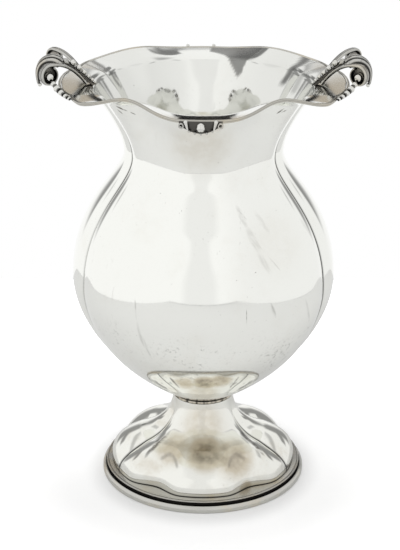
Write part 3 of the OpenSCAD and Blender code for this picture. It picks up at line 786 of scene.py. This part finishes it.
# The wire's radius, its share at the tail's tip and at both ends of the ring, and how many
# times as deep the band is at the tip and in the ring
SCROLL_WIRE_R = 1.1
SCROLL_WIDTHS = (0.75, 1.1, 0.7)
SCROLL_BANDS = (1.2, 2)
# Lines along the band: angles round it, width in degrees, depth share and dirt
BAND_LINES = (70, 110, 250, 290)
BAND_LINE_W, BAND_LINE_DEPTH, BAND_LINE_DIRT = 10, 0.16, 0.9
# Tail: place and lift of its tip on the lip, and its curve's handles as shares of the way
HORN_TIP_Y, HORN_REST, HORN_TIP_LIFT = 5, 12, 0.75
TAIL_OUT, TAIL_UP, TAIL_BACK = 0.27, 0.5, 0.42
TAIL_STEPS, RING_STEPS = 28, 72
# Cup in the ring: radius share and height of each of its rings
CUP_SHARE = 0.92
CUP_PROFILE = ((1, 0.2), (0.86, -0.7), (0.6, -1.1), (0.3, -1.25), (0.02, -1.3))

# Beads on the tongue, and the profile of their seats as shares of radius and height
TONGUE_BEAD_R = 2.1
TONGUE_BEAD_PLACES = (0.74, 0.535, 0.36, 0.215, 0.1, 0.01)
TONGUE_BEAD_SIZES = (1, 0.92, 0.8, 0.68, 0.56, 0.46)
BEAD_SEAT_SHARE = 1.45
SEAT_PROFILE = ((0.7, -0.25), (0.95, -0.1), (1, 0.15), (0.85, 0.35))
LEAF_PLACE, LEAF_LENGTH, LEAF_W = 0.9, 2.3, 1.25
LEAF_STEP, LEAF_LIFT, LEAF_PINCH, LEAF_FLATNESS = 1.7, 0.5, 0.6, 0.8

# Strands of beads and reels
EYE_R = 3.1
EYE_DROP_SHARE = 0.4
STRAND_SAG = 1.2
STRAND_PLACES = (0, 0.27, 0.47, 0.67, 0.85, 1)
STRAND_SIZES = (1, 0.6, 0.74, 0.6, 0.46, 0.34)
STRAND_FRONT_STEP = 3.0
STRAND_RINGS = 260
# Reels and the bare core between the beads are painted dark for the shade between them
REEL_SHARE, REEL_T, REEL_SHADE = 0.5, 0.7, 0.7
CORE_SHARE = 0.25
POLE_R, POLE_GAP = 0.02, 0.002

ACROSS = np.array([0, 1, 0])
UP = np.array([0, 0, 1])
OUT = np.array([math.cos(SCROLL_TURN), -math.sin(SCROLL_TURN), 0])
FACE = np.array([-math.sin(SCROLL_TURN), -math.cos(SCROLL_TURN), 0])


def add_mirrored(name, points, faces, material, slot, node="", dirt_and_shade=None, corners=False):
    """Adds a piece of the right handle at both sides, or one of its front half at all corners."""
    for side, x in (("left_", -1), ("right_", 1)):
        for end, y in (("front_", 1), ("back_", -1)) if corners else (("", 1),):
            add_piece(side + end + name, np.asarray(points) * [x, y, 1], faces, material, slot,
                      [side + end + node] if node else [], dirt_and_shade)


def unit(vectors):
    """Vectors of length 1 from vectors along the last axis."""
    return vectors / np.linalg.norm(vectors, axis=-1, keepdims=True)


def hook_rows(along, across):
    """Outer and inner points of the reeded hook, with the darkness of its grooves."""
    t = np.linspace(0, 1, along + 1)[:, None]
    s = np.linspace(0, 1, across + 1)[None]
    a = np.radians(HOOK_START + t * (HOOK_END - HOOK_START))
    side, fade = 2 * s - 1, 1 - t / 2
    half = HOOK_HALF_W * (1 - HOOK_TAPER * t**HOOK_TAPER_POWER)
    r = HOOK_R * (1 + HOOK_FLARE * t**HOOK_FLARE_POWER - HOOK_CROWN * side**2 * fade)
    groove = 1 - np.abs(np.sin(np.pi * REEDS * s)) + 0 * t

    def at(radius):
        return np.stack([HUB.x + radius * np.cos(a), half * side,
                         HUB.z + radius * np.sin(a)], -1)

    return at(r - REED_H * fade * groove**REED_POWER), at(r - HOOK_T), groove


def add_hooks():
    outer, inner, groove = hook_rows(48, 64)
    rows = np.concatenate([outer, inner[:, ::-1]], 1)
    n = rows.shape[1]
    faces = grid_faces(len(rows), n, False)
    for base in (0, (len(rows) - 1) * n):
        faces += [(base + j, base + j + 1, base + n - 2 - j, base + n - 1 - j)
                  for j in range(n // 2 - 1)]
    # Grooves between the reeds and the inside of the hook are darker
    dirt_and_shade = np.concatenate([REED_DARK * ramp(groove, *REED_DARK_IN),
                           np.full_like(groove, HOOK_INSIDE_DARK)], 1)
    add_mirrored("reeded_hook", rows, faces, CAST_SILVER, "cast_silver", "hook", dirt_and_shade)


def tongue_curve():
    """Root, middle and top of the tongue as radius and height."""
    lip = body_rows(np.array([90.0]), True)[-1 - BODY_STEPS[-1]][0]
    root = np.array([lip[0] + WALL / 2, lip[2] + TONGUE_T / 2 + 3 * SOLDER])
    top_r = HOOK_R - HOOK_T / 2 - REED_H / 2
    top_a = math.radians(HOOK_START) + 2 * math.asin(SOLDER / top_r)
    top = np.array([HUB.x + top_r * math.cos(top_a), HUB.z + top_r * math.sin(top_a)])
    return root, root + (top - root) * TONGUE_BEND, top


ROOT, MIDDLE, TOP = tongue_curve()


def tongue_at(t):
    return (1 - t) ** 2 * ROOT + 2 * t * (1 - t) * MIDDLE + t * t * TOP


def tongue_frame(t):
    """Point on the strap's upper face, with its directions along it and out of that face."""
    d = unit((1 - t) * (MIDDLE - ROOT) + t * (TOP - MIDDLE))
    n = np.array([-d[1], d[0]])
    c = tongue_at(t) + TONGUE_T / 2 * n
    return (np.array([p[0], 0, p[1]]) for p in (c, d, n))


def sweep(path, sections, frames):
    """Sweeps a section for each point of a path along its own side and rise directions."""
    return np.array([p + s[:, :1] * b + s[:, 1:] * n
                     for p, s, (b, n) in zip(path, sections, frames)])


def add_tongues():
    path = np.array([tongue_at(t) for t in np.linspace(0, 1, 33)])
    u = circle(24)
    square = np.stack([np.sign(wave) * np.abs(wave) ** power * width / 2 for wave, power, width
                       in zip((np.cos(u), np.sin(u)), TONGUE_POWERS, (TONGUE_W, TONGUE_T))], 1)
    frames = [(ACROSS, np.array([-d[1], 0, d[0]])) for d in unit(np.gradient(path, axis=0))]
    middle = np.stack([path[:, 0], 0 * path[:, 0], path[:, 1]], 1)
    rows = sweep(middle, [square] * len(path), frames)
    # The strap is near-black: painted shade under its beads and the horns' tails
    add_mirrored("strap", rows, capped(rows), DARK_SILVER, "darkened_silver", "tongue")


def scroll_path():
    """Middle of a scroll: a tail from the lip and a ring that winds in and forwards."""
    rest = body_rows(np.array([90.0]), True)[-HORN_REST][0]
    tip = np.array([rest[0], -HORN_TIP_Y, rest[2] + SCROLL_WIRE_R * HORN_TIP_LIFT])
    centre = np.array(SCROLL_C)
    top = centre + SCROLL_R * UP
    low = np.array([tip[0] + TAIL_OUT * (top[0] - tip[0]), tip[1] - SCROLL_WIRE_R,
                    tip[2] + TAIL_UP * (top[2] - tip[2])])
    high = top - TAIL_BACK * np.linalg.norm(top - tip) * OUT
    u = np.linspace(0, 1, RING_STEPS + 1)[1:, None]
    a = np.radians(SCROLL_START - SCROLL_SWEEP * u)
    r = SCROLL_R * (1 - SCROLL_SHRINK * u)
    ring = centre + r * np.cos(a) * OUT + r * np.sin(a) * UP + SCROLL_WIRE_R * u * FACE
    return np.concatenate([[tip], curve(tip, low, high, top, TAIL_STEPS), ring])


def add_scrolls():
    """Ram's horns: fluted bands that rise beside the tongue and curl into a ring."""
    path = scroll_path()
    i = np.arange(len(path))
    width = SCROLL_WIRE_R * np.interp(i, (0, TAIL_STEPS, len(path)), SCROLL_WIDTHS)
    at_tip, in_ring = SCROLL_BANDS
    deep = at_tip + (in_ring - at_tip) * smooth(3 * i / TAIL_STEPS)
    u = circle(28)
    line = scribed(np.degrees(u), BAND_LINES, BAND_LINE_W)
    rim = 1 - BAND_LINE_DEPTH * line
    sections = [np.stack([w * k * np.cos(u) * rim, w * np.sin(u) * rim], 1)
                for w, k in zip(width, deep)]
    frames = []
    for d in unit(np.gradient(path, axis=0)):
        b = unit(FACE - (FACE @ d) * d)
        frames.append((b, np.cross(b, d)))
    rows = sweep(path, sections, frames)
    # The band's side that faces into the curl is painted black for its shade; its lines are dark
    # too
    dirt_and_shade = np.maximum(BAND_LINE_DIRT * line, ramp(-np.sin(u), 0.1, 0.6))
    add_mirrored("horn", rows, capped(rows), CAST_SILVER, "cast_silver", "scroll",
                 np.repeat(dirt_and_shade[None], len(path), 0), True)


def add_cups():
    """Dark hollows of the horns behind their eye beads, painted dark for the shade in them."""
    u = circle(40)[:, None]
    rim = SCROLL_R * CUP_SHARE * (np.cos(u) * OUT + np.sin(u) * UP)
    rows = np.array([np.array(SCROLL_C) + share * rim + depth * FACE
                     for share, depth in CUP_PROFILE])
    add_mirrored("horn_cup", rows, grid_faces(len(rows), rows.shape[1], False), CUP_SHADE_SILVER,
                 "darkened_silver", corners=True)


def ball(centre, radius, steps=20):
    """Rows of a sphere from pole to pole."""
    t = np.radians(np.linspace(-90, 90, steps // 2 + 1))
    u = circle(steps)
    rows = np.stack([np.outer(np.cos(t), np.cos(u)), np.outer(np.cos(t), np.sin(u)),
                     np.outer(np.sin(t), np.ones_like(u))], -1)
    return np.asarray(centre) + radius * rows


def merged(shapes):
    """Points and faces of several capped shapes in one mesh."""
    points, faces = [], []
    for rows in shapes:
        start = sum(len(p) for p in points)
        faces += [tuple(start + i for i in face) for face in capped(rows)]
        points.append(rows.reshape(-1, 3))
    return np.concatenate(points), faces


def add_tongue_beads():
    """Beads along the strap, the largest beside the hook, each in a black seat of painted shade."""
    balls, seats = [], []
    u = circle(28)[:, None]
    for t, share in zip(TONGUE_BEAD_PLACES, TONGUE_BEAD_SIZES):
        c, d, n = tongue_frame(t)
        radius = TONGUE_BEAD_R * share
        balls.append(ball(c + (radius + SOLDER / 2) * n, radius))
        rim = BEAD_SEAT_SHARE * (np.cos(u) * d + np.sin(u) * ACROSS)
        seats.append(np.array([c + radius * (wide * rim + high * n)
                               for wide, high in SEAT_PROFILE]))
    add_mirrored("bead_row", *merged(balls), BEAD_SILVER, "cast_silver", "tongue_beads")
    add_mirrored("bead_seats", *merged(seats), DARK_SILVER, "darkened_silver")


def add_leaves():
    """Three small leaves across the strap where it leaves the hook."""
    c, d, n = tongue_frame(LEAF_PLACE)
    shape = ball((0, 0, 0), 1, 16)
    x, y, z = (shape[..., k:k + 1] for k in range(3))
    pinch = LEAF_W * (1 - LEAF_PINCH * np.maximum(0, -z))
    leaf = z * LEAF_LENGTH * d + pinch * (x * ACROSS + LEAF_FLATNESS * y * n)
    places = (c + LEAF_W * (k * LEAF_STEP * ACROSS + LEAF_LIFT * n) for k in (-1, 0, 1))
    add_mirrored("leaves", *merged([place + leaf for place in places]), CAST_SILVER,
                 "cast_silver")


def add_drops():
    mid_r = HOOK_R * (1 + HOOK_FLARE) - HOOK_T / 2
    below = math.radians(HOOK_END) - 2 * math.asin((DROP_R + SOLDER) / (2 * mid_r))
    centre = (HUB.x + mid_r * math.cos(below), 0, HUB.z + mid_r * math.sin(below))
    add_mirrored("drop_ball", *merged([ball(centre, DROP_R)]), BEAD_SILVER, "cast_silver",
                 "drop")


def strand_knots():
    """Centres of a strand's beads, from the eye of the scroll down to the rim wire."""
    eye = np.array(SCROLL_C) - EYE_DROP_SHARE * EYE_R * UP
    a = np.array([CREASE_A - STRAND_FRONT_STEP])
    edge, height = rim_line(a)
    seat = polar(a, edge + 2 * WIRE_R + 2 * SOLDER + EYE_R * STRAND_SIZES[-1], height)[0]
    sag = 4 * STRAND_SAG * np.array([1, 0, -1]) / math.sqrt(2)
    t = np.array(STRAND_PLACES)[:, None]
    return (1 - t) * eye + t * seat + t * (1 - t) * sag


def strand_radius(place, at):
    """Radius and darkness of the strand of beads and reels at one place along it; the reels and the
    core between beads are painted shade.
    """
    if place < 0:
        return math.sqrt(max(EYE_R**2 - place**2, POLE_R**2)), 0.0
    radius, dirt_and_shade = CORE_SHARE * EYE_R, 1.0
    for centre, share in zip(at, STRAND_SIZES):
        gap = (EYE_R * share) ** 2 - (place - centre) ** 2
        if gap > radius**2:
            radius, dirt_and_shade = math.sqrt(gap), 0.0
    for i in range(1, len(at) - 1):
        reel = EYE_R * REEL_SHARE * STRAND_SIZES[i] / STRAND_SIZES[1]
        edge = abs(place - (at[i] + at[i + 1]) / 2) - REEL_T / 2
        if edge <= 0 and reel > radius:
            radius, dirt_and_shade = reel, REEL_SHADE
    return radius, dirt_and_shade


def add_strands():
    """Beads and reels on a core from the eye of each scroll down to the rim."""
    knots = strand_knots()
    legs = np.linalg.norm(np.diff(knots, axis=0), axis=1)
    at = np.concatenate([[0], np.cumsum(legs)])
    directions = np.diff(knots, axis=0) / legs[:, None]
    first, last = at[0] - EYE_R, at[-1] + EYE_R * STRAND_SIZES[-1]
    rows, strand_shades = [], []
    u = circle(24)[:, None]
    for place in np.linspace(first + POLE_GAP, last - POLE_GAP, STRAND_RINGS):
        i = int(np.clip(np.searchsorted(at, place) - 1, 0, len(legs) - 1))
        d = directions[i]
        b = unit(np.cross(d, UP))
        radius, dirt_and_shade = strand_radius(place, at)
        rows.append(knots[i] + (place - at[i]) * d
                    + radius * (np.cos(u) * b + np.sin(u) * np.cross(b, d)))
        strand_shades.append(dirt_and_shade)
    rows = np.array(rows)
    add_mirrored("bead_strand", rows, capped(rows), BEAD_SILVER, "cast_silver", "strand",
                 around(strand_shades, len(u)), True)


def add_handles():
    add_hooks()
    add_drops()
    add_tongues()
    add_tongue_beads()
    add_leaves()
    add_scrolls()
    add_cups()
    add_strands()


# Ornament under the rim
ORNAMENT_W = 26
ORNAMENT_H = 7.4
ORNAMENT_SHIFT = 2
PLATE_T = 0.9
PLATE_CHAMFER = 0.15
PLATE_END_SHARE = 0.35
PLATE_STEPS = 40
BOSS_R = 2.9
BOSS_DROP_SHARE = 0.48
PETAL_R = 1.3
PETAL_PLACE_SHARE = 0.69
PETAL_LENGTH_SHARE = 0.7
PETAL_TIP_SHARE = 0.3
PETAL_LEAN = math.radians(15)
PETAL_RINGS = 30
GRANULE_R = 0.8
GRANULE_PLACES = (-0.53, -0.27, 0, 0.27, 0.53)
CURL_R = 1.9
CURL_PLACE_SHARE = 0.9
CURL_WIRE_SHARE = 0.3
CURL_TURN = 359.5
CURL_RINGS = 48

# Top and radii of the plate, which hangs against the rim wire at the front
FRONT_EDGE_R, RIM_Z = (float(v[0]) for v in rim_line(np.array([0.0])))
PLATE_TOP = RIM_Z + WIRE_R / 2
PLATE_IN_R = FRONT_EDGE_R + 2 * (WIRE_R + SOLDER)
PLATE_OUT_R = PLATE_IN_R + PLATE_T


def spun(points, turn):
    """Points turned about the vase's axis by an angle in radians."""
    x, y, z = np.moveaxis(np.asarray(points, float), -1, 0)
    c, s = math.cos(turn), math.sin(turn)
    return np.stack([c * x - s * y, s * x + c * y, z], -1)


def on_plate(points, x, z, lift):
    """Moves a small shape, drawn about the origin with -Y outwards, onto the plate."""
    moved = np.asarray(points, float) + [0, -PLATE_OUT_R - SOLDER - lift, PLATE_TOP + z]
    return spun(moved, math.asin(x / PLATE_OUT_R))


def turned(points, back):
    """Turns an ornament piece to the front or the back, both a little to the left."""
    turn = math.asin(ORNAMENT_SHIFT / PLATE_OUT_R)
    return spun(points, math.pi + turn if back else -turn)


def plate_drop(s):
    """Depth of the plate's lower edge at share s of its half width."""
    return ORNAMENT_H * (PLATE_END_SHARE + (1 - PLATE_END_SHARE) * np.cos(np.pi / 2 * s))


def plate_rows():
    """Curved backplate with chamfered outer edges, as a section at each place across it."""
    s = np.linspace(-1, 1, PLATE_STEPS + 1)
    a = np.degrees(np.arcsin(s * ORNAMENT_W / 2 / PLATE_IN_R))
    low = PLATE_TOP - plate_drop(s)
    corners = ((PLATE_IN_R, PLATE_TOP), (PLATE_IN_R, low), (PLATE_OUT_R - PLATE_CHAMFER, low),
               (PLATE_OUT_R, low + PLATE_CHAMFER), (PLATE_OUT_R, PLATE_TOP - PLATE_CHAMFER),
               (PLATE_OUT_R - PLATE_CHAMFER, PLATE_TOP))
    return np.stack([polar(a, r, z) for r, z in corners], 1)


def boss_rows():
    dome = ball((0, 0, 0), BOSS_R, 28)
    dome[..., 1] = np.minimum(dome[..., 1], 0)
    return on_plate(dome, 0, -BOSS_DROP_SHARE * ORNAMENT_H, 0)


def petal_rows(sign):
    """Petal that hangs from the top of the plate and leans to its end."""
    length = PETAL_LENGTH_SHARE * ORNAMENT_H
    u = circle(18)
    rows = []
    for z in np.linspace(-length, PETAL_R, PETAL_RINGS):
        radius = PETAL_R * (1 + (1 - PETAL_TIP_SHARE) * z / length)
        if z >= 0:
            radius = math.sqrt(max(PETAL_R**2 - z**2, POLE_R**2))
        rows.append(np.stack([radius * np.cos(u), radius * np.sin(u), np.full_like(u, z)], -1))
    x, y, z = np.moveaxis(np.array(rows), -1, 0)
    c, s = math.cos(PETAL_LEAN), sign * math.sin(PETAL_LEAN)
    leaning = np.stack([c * x + s * z, y, c * z - s * x], -1)
    return on_plate(leaning, sign * PETAL_PLACE_SHARE * ORNAMENT_W / 2, 0, PETAL_R)


def curl_rows(sign):
    """Small ring of wire at one end of the plate, open by a hair so that it can be capped."""
    wire = CURL_WIRE_SHARE * CURL_R
    u = circle(14)
    reach = CURL_R - wire + wire * np.cos(u)
    rows = np.array([np.stack([reach * math.cos(v), wire * np.sin(u), reach * math.sin(v)], -1)
                     for v in np.radians(np.linspace(0, CURL_TURN, CURL_RINGS))])
    return on_plate(rows, sign * CURL_PLACE_SHARE * ORNAMENT_W / 2,
                    -PLATE_END_SHARE * ORNAMENT_H, wire)


def granule_rows(place):
    grain = ball((0, 0, 0), GRANULE_R, 16)
    return on_plate(grain, place * ORNAMENT_W / 2, -plate_drop(place), GRANULE_R)


def ornament_shapes():
    """The pieces of one ornament: name, material, slot and capped shapes."""
    yield "plate", DARK_SILVER, "darkened_silver", [plate_rows()]
    yield "boss", BEAD_SILVER, "cast_silver", [boss_rows()]
    yield "petals", BEAD_SILVER, "cast_silver", [petal_rows(sign) for sign in (-1, 1)]
    yield "curls", CAST_SILVER, "cast_silver", [curl_rows(sign) for sign in (-1, 1)]
    yield "granules", CAST_SILVER, "cast_silver", [granule_rows(p) for p in GRANULE_PLACES]


def add_ornaments():
    for end, back in (("front", False), ("back", True)):
        for part, material, slot, shapes in ornament_shapes():
            points, faces = merged(shapes)
            add_piece("%s_ornament_%s" % (end, part), turned(points, back), faces, material,
                      slot, ["%s_%s" % (end, part)])


# Solder collar: share of its radius where it starts, and its lumps: how many round the vase,
# how far they wander and how often
COLLAR_IN_SHARE = 0.75
COLLAR_LUMPS = ((17, 2, 3), (41, 3, 5))
LUMP_DIRT = 0.95
COLLAR_TOP_ROWS, COLLAR_TOP_DIRT = 4, 0.9


def add_collar():
    """Rough half-round line of solder between the stem and the body."""
    low, half, start = STEM_H + SOLDER, COLLAR_H / 2, COLLAR_R * COLLAR_IN_SHARE
    bulge = arc(COLLAR_R - half, low + half, half, -90, 90, 12)
    profile = [(start, low)] + bulge + [(start, low + COLLAR_H)]
    a = np.radians(LATHE_ANGLES)
    lumps = sum(1 + np.sin(count * a + wander * np.sin(often * a))
                for count, wander, often in COLLAR_LUMPS) / (2 * len(COLLAR_LUMPS))
    dirt_and_shade = np.repeat(LUMP_DIRT * lumps[None] ** 2, len(profile), 0)
    dirt_and_shade[-COLLAR_TOP_ROWS:] = COLLAR_TOP_DIRT
    add_turned("collar", profile, COLLAR_SILVER, "worn_silver", "stem_collar", dirt_and_shade)


# Floor, in metres: a pale table with rounded corners behind the vase
FLOOR_HALF_W = 0.56
FLOOR_FRONT, FLOOR_BACK = -1.04, 0.35
FLOOR_CORNER = 0.2
FLOOR_DIFFUSE, HEM_DIFFUSE = 0.77, 0.6
# Darker hem: distances from the side and front edges where it starts and is full
SIDE_HEM, FRONT_HEM = (0.01, 0.008), (0.08, 0.064)
# Light added for the camera: at the foot, just round it and far off, where it rises, and how
# much the rings where it does are stretched to the back
FLOOR_LIFTS = (0.02, 0.2, 1)
NEAR_FADE, FAR_FADE, FADE_STRETCH = (0.068, 0.086), (0.09, 0.25), 0.92
# Light added beside and behind the foot, where the shadow is faint
BACK_LIFT, BACK_FADE = 0.22, (-0.07, 0.04)
WHITE = (1, 1, 1, 1)


def floor_outline():
    points = [(-FLOOR_HALF_W, FLOOR_FRONT, 0), (FLOOR_HALF_W, FLOOR_FRONT, 0)]
    for sign, start in ((1, 0), (-1, 90)):
        for t in np.radians(np.linspace(start, start + 90, 9)):
            points.append((sign * (FLOOR_HALF_W - FLOOR_CORNER) + FLOOR_CORNER * math.cos(t),
                           FLOOR_BACK - FLOOR_CORNER + FLOOR_CORNER * math.sin(t), 0))
    return points


def floor_lift(coords, y):
    """Light that fades the table into the white round the vase."""
    rings = add_node("Mapping", {"Vector": coords, "Scale": (1, FADE_STRETCH, 1)})[0]
    away = add_node("VectorMath", {0: rings}, operation="LENGTH")["Value"]
    foot, near, far = FLOOR_LIFTS
    lift = math_node("ADD", remap(away, *NEAR_FADE, foot, near),
                     remap(away, *FAR_FADE, 0, far - near))
    return math_node("ADD", lift, remap(y, *BACK_FADE, 0, BACK_LIFT))


def floor_white():
    """Pale cloth with a darker hem, lifted for the camera alone."""
    material = bpy.data.materials.new("floor_white")
    tree, places = new_tree(material)
    x, y, _ = add_node("SeparateXYZ", {0: places["Object"]})
    hem = most(remap(math_node("ABSOLUTE", x), *(FLOOR_HALF_W - w for w in SIDE_HEM)),
               remap(y, *(FLOOR_FRONT + w for w in FRONT_HEM)))
    color = mix_color(hem, (FLOOR_DIFFUSE,) * 3 + (1,), (HEM_DIFFUSE,) * 3 + (1,))
    lift = times(add_node("LightPath", {}, tree)["Is Camera Ray"],
                 floor_lift(places["Object"], y))
    both = add_node("AddShader", {0: add_node("BsdfDiffuse", {"Color": color})[0],
                                  1: add_node("Emission", {"Color": WHITE, "Strength": lift})[0]})
    add_node("OutputMaterial", {"Surface": both[0]})
    return material


def add_floor():
    """Pale table whose edges show only in the silver; the camera sees it fade into the white."""
    points = floor_outline()
    mesh = bpy.data.meshes.new("floor")
    mesh.from_pydata(points, [], [tuple(range(len(points)))])
    mesh.materials.append(floor_white())
    floor = add_object("floor", mesh)
    floor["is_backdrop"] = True


# Studio, by the direction from the vase as x, y and z. Each opening has its low end, high end
# and softness across and then upwards. Room behind the backdrop, which the lip mirrors:
BEHIND_FADE = (0.4, 0.6)
DOOR = ((-0.038, 0.038, 0.01), (0.04, 0.165, 0.02))
ARCH = ((-0.022, 0.022, 0.008), (0.04, 0.27, 0.01))
SHELF = ((-0.12, 0.12, 0.03), (0.18, 0.285, 0.012))
GALLERY = ((-0.27, 0.2, 0.03), (0.32, 0.47, 0.012))
GALLERY_ENDS = (((-0.27, 0.78, 0.57), 0.16), ((0.15, 0.88, 0.45), 0.08))
GALLERY_NOTCH, NOTCH_FADE = (-0.1, 0.06, 0.012), (0.34, 0.37)
DOOR_DARK, GALLERY_DARK, SHELF_TINT = 0.98, 0.78, (0.5, 0.44, 0.36, 1)
# Gaps at both sides and their wider ledge, by the slope of x over y, and where they fade in
SIDE_GAP = ((0.42, 0.9, 0.12), (-0.06, 0.66, 0.1))
LEDGE = ((0.4, 1.45, 0.14), (0.27, 0.46, 0.05))
SIDE_FADE, SIDE_DARK = (0.1, 0.3), 0.68
# Gaps beside the box overhead, by the slopes of x and y over z
BEAM, BEAM_DARK = ((0.62, 0.8, 0.06), (-0.1, 0.45, 0.08)), 0.4
FLATTEST = 0.01
# Camera's stand and the photographer over it: place, half width by height, shares of that
# where the edge fades, and fade to the front
STAND_X, STAND_W, HEAD_W = -0.05, (0.05, 0.6, 0.23, 0.13), (0.64, 0.74, 0, 0.11)
STAND_EDGE, STAND_DARK, FRONT_FADE = (1.4, 0.7), 0.1, (0, -0.1)
# Slight shade of the right side, and the studio's light on all but silver
RIGHT_FADE, RIGHT_DARK = (0.1, 0.8), 0.08
STUDIO_LIGHT = 0.7


def blob(direction, centre, size, core=0.65):
    """Soft-edged patch of the studio about one direction, from 0 outside to 1 inside."""
    away = add_node("VectorMath", {0: direction, 1: Vector(centre).normalized()},
                    operation="DISTANCE")["Value"]
    return remap(away, size, size * core)


def band(value, low, high, soft):
    """1 where the value lies between low and high, with soft ends."""
    return times(remap(value, low - soft, low + soft), remap(value, high + soft, high - soft))


def opening(across, up, wide, tall):
    return times(band(across, *wide), band(up, *tall))


def slope(a, b):
    """How steeply a direction leads along a for each step along b."""
    return math_node("DIVIDE", a, most(b, FLATTEST))


def behind(direction, x, y, z):
    """Darkness of the room behind the backdrop, and share of its warm shelf."""
    fade = remap(y, *BEHIND_FADE)
    door = most(opening(x, z, *DOOR), opening(x, z, *ARCH))
    notch = times(band(x, *GALLERY_NOTCH), remap(z, *NOTCH_FADE))
    gallery = times(opening(x, z, *GALLERY), without(notch))
    for centre, size in GALLERY_ENDS:
        gallery = most(gallery, blob(direction, centre, size))
    dark = most(times(gallery, GALLERY_DARK), times(door, DOOR_DARK))
    return times(dark, fade), times(opening(x, z, *SHELF), fade)


def gaps(x, y, z):
    """Darkness of the upright gaps at both sides and of those beside the box overhead."""
    wide = math_node("ABSOLUTE", x)
    across = slope(wide, y)
    sides = most(opening(across, z, *SIDE_GAP), opening(across, z, *LEDGE))
    sides = times(sides, remap(y, *SIDE_FADE, 0, SIDE_DARK))
    return most(sides, times(opening(slope(wide, z), slope(y, z), *BEAM), BEAM_DARK))


def in_front(x, y, z):
    """Faint grey of the stand and the photographer, and of the right side."""
    width = math_node("ADD", remap(z, *STAND_W), remap(z, *HEAD_W))
    off = math_node("ABSOLUTE", math_node("SUBTRACT", x, STAND_X))
    edge = remap(math_node("DIVIDE", off, width), *STAND_EDGE, 0, STAND_DARK)
    return math_node("ADD", times(edge, remap(y, *FRONT_FADE)),
                     remap(x, *RIGHT_FADE, 0, RIGHT_DARK))


def add_world():
    """White all round; the silver also sees the darker gaps between the studio's soft boxes."""
    world = bpy.data.worlds.new("studio")
    bpy.context.scene.world = world
    tree, places = new_tree(world)
    x, y, z = add_node("SeparateXYZ", {0: places["Generated"]})
    room, shelf = behind(places["Generated"], x, y, z)
    dark = most(room, gaps(x, y, z))
    shade = times(without(in_front(x, y, z)), without(dark))
    tint = mix_color(shelf, WHITE, SHELF_TINT)
    light, in_silver, plain = (
        add_node("Background", {"Color": color, "Strength": strength}, tree)[0]
        for color, strength in ((WHITE, STUDIO_LIGHT), (tint, shade), (WHITE, 1)))
    path = add_node("LightPath", {}, tree)
    lit = add_node("MixShader", {0: path["Is Glossy Ray"], 1: light, 2: in_silver})[0]
    shown = most(path["Is Camera Ray"], path["Is Transmission Ray"])
    both = add_node("MixShader", {0: shown, 1: lit, 2: plain})[0]
    add_node("OutputWorld", {"Surface": both})


# Lamps: name, place, size and watts, and the middle of the vase, which they aim at
LAMPS = (("overhead_left", (-0.7, -0.7, 1.7), 1.2, 11),
         ("overhead_right", (0.9, -0.3, 1.6), 1.0, 5))
LAMP_AIM = Vector((0, 0, 0.15))


def add_lamps():
    """Soft square lamps, not mirrored in the silver."""
    for name, place, size, watts in LAMPS:
        lamp = bpy.data.lights.new(name, "AREA")
        lamp.size = size
        lamp.energy = watts
        holder = add_object(name, lamp)
        holder.location = place
        holder.rotation_euler = (LAMP_AIM - Vector(place)).to_track_quat("-Z", "Y").to_euler()
        holder.visible_glossy = False


# Camera, found by fitting the photograph's ellipses
CAMERA_PLACE = Vector((-0.00226, -1.035, 0.5587))
CAMERA_PITCH, CAMERA_ROLL = math.radians(21.8), math.radians(0.13)
FOCAL_PIXELS = 1640
FRAME_H = 550
SENSOR = 36


def add_camera():
    camera = bpy.data.cameras.new("camera")
    camera.sensor_fit = "VERTICAL"
    camera.sensor_height = SENSOR
    camera.lens = FOCAL_PIXELS / FRAME_H * SENSOR
    holder = add_object("camera", camera)
    pitch = Matrix.Rotation(math.pi / 2 - CAMERA_PITCH, 4, "X")
    roll = Matrix.Rotation(CAMERA_ROLL, 4, "Z")
    holder.matrix_world = Matrix.Translation(CAMERA_PLACE) @ (pitch @ roll)
    bpy.context.scene.camera = holder


add_body()
add_rim_wire()
add_foot()
add_flange()
add_base_ring()
add_collar()
add_handles()
add_ornaments()
add_floor()
add_world()
add_lamps()
add_camera()
bpy.context.scene.view_settings.view_transform = "Standard"

bounds = {"cad": cad_bounds, "visual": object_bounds()}
{key: [[float(v) for v in corner] for corner in value] for key, value in bounds.items()}
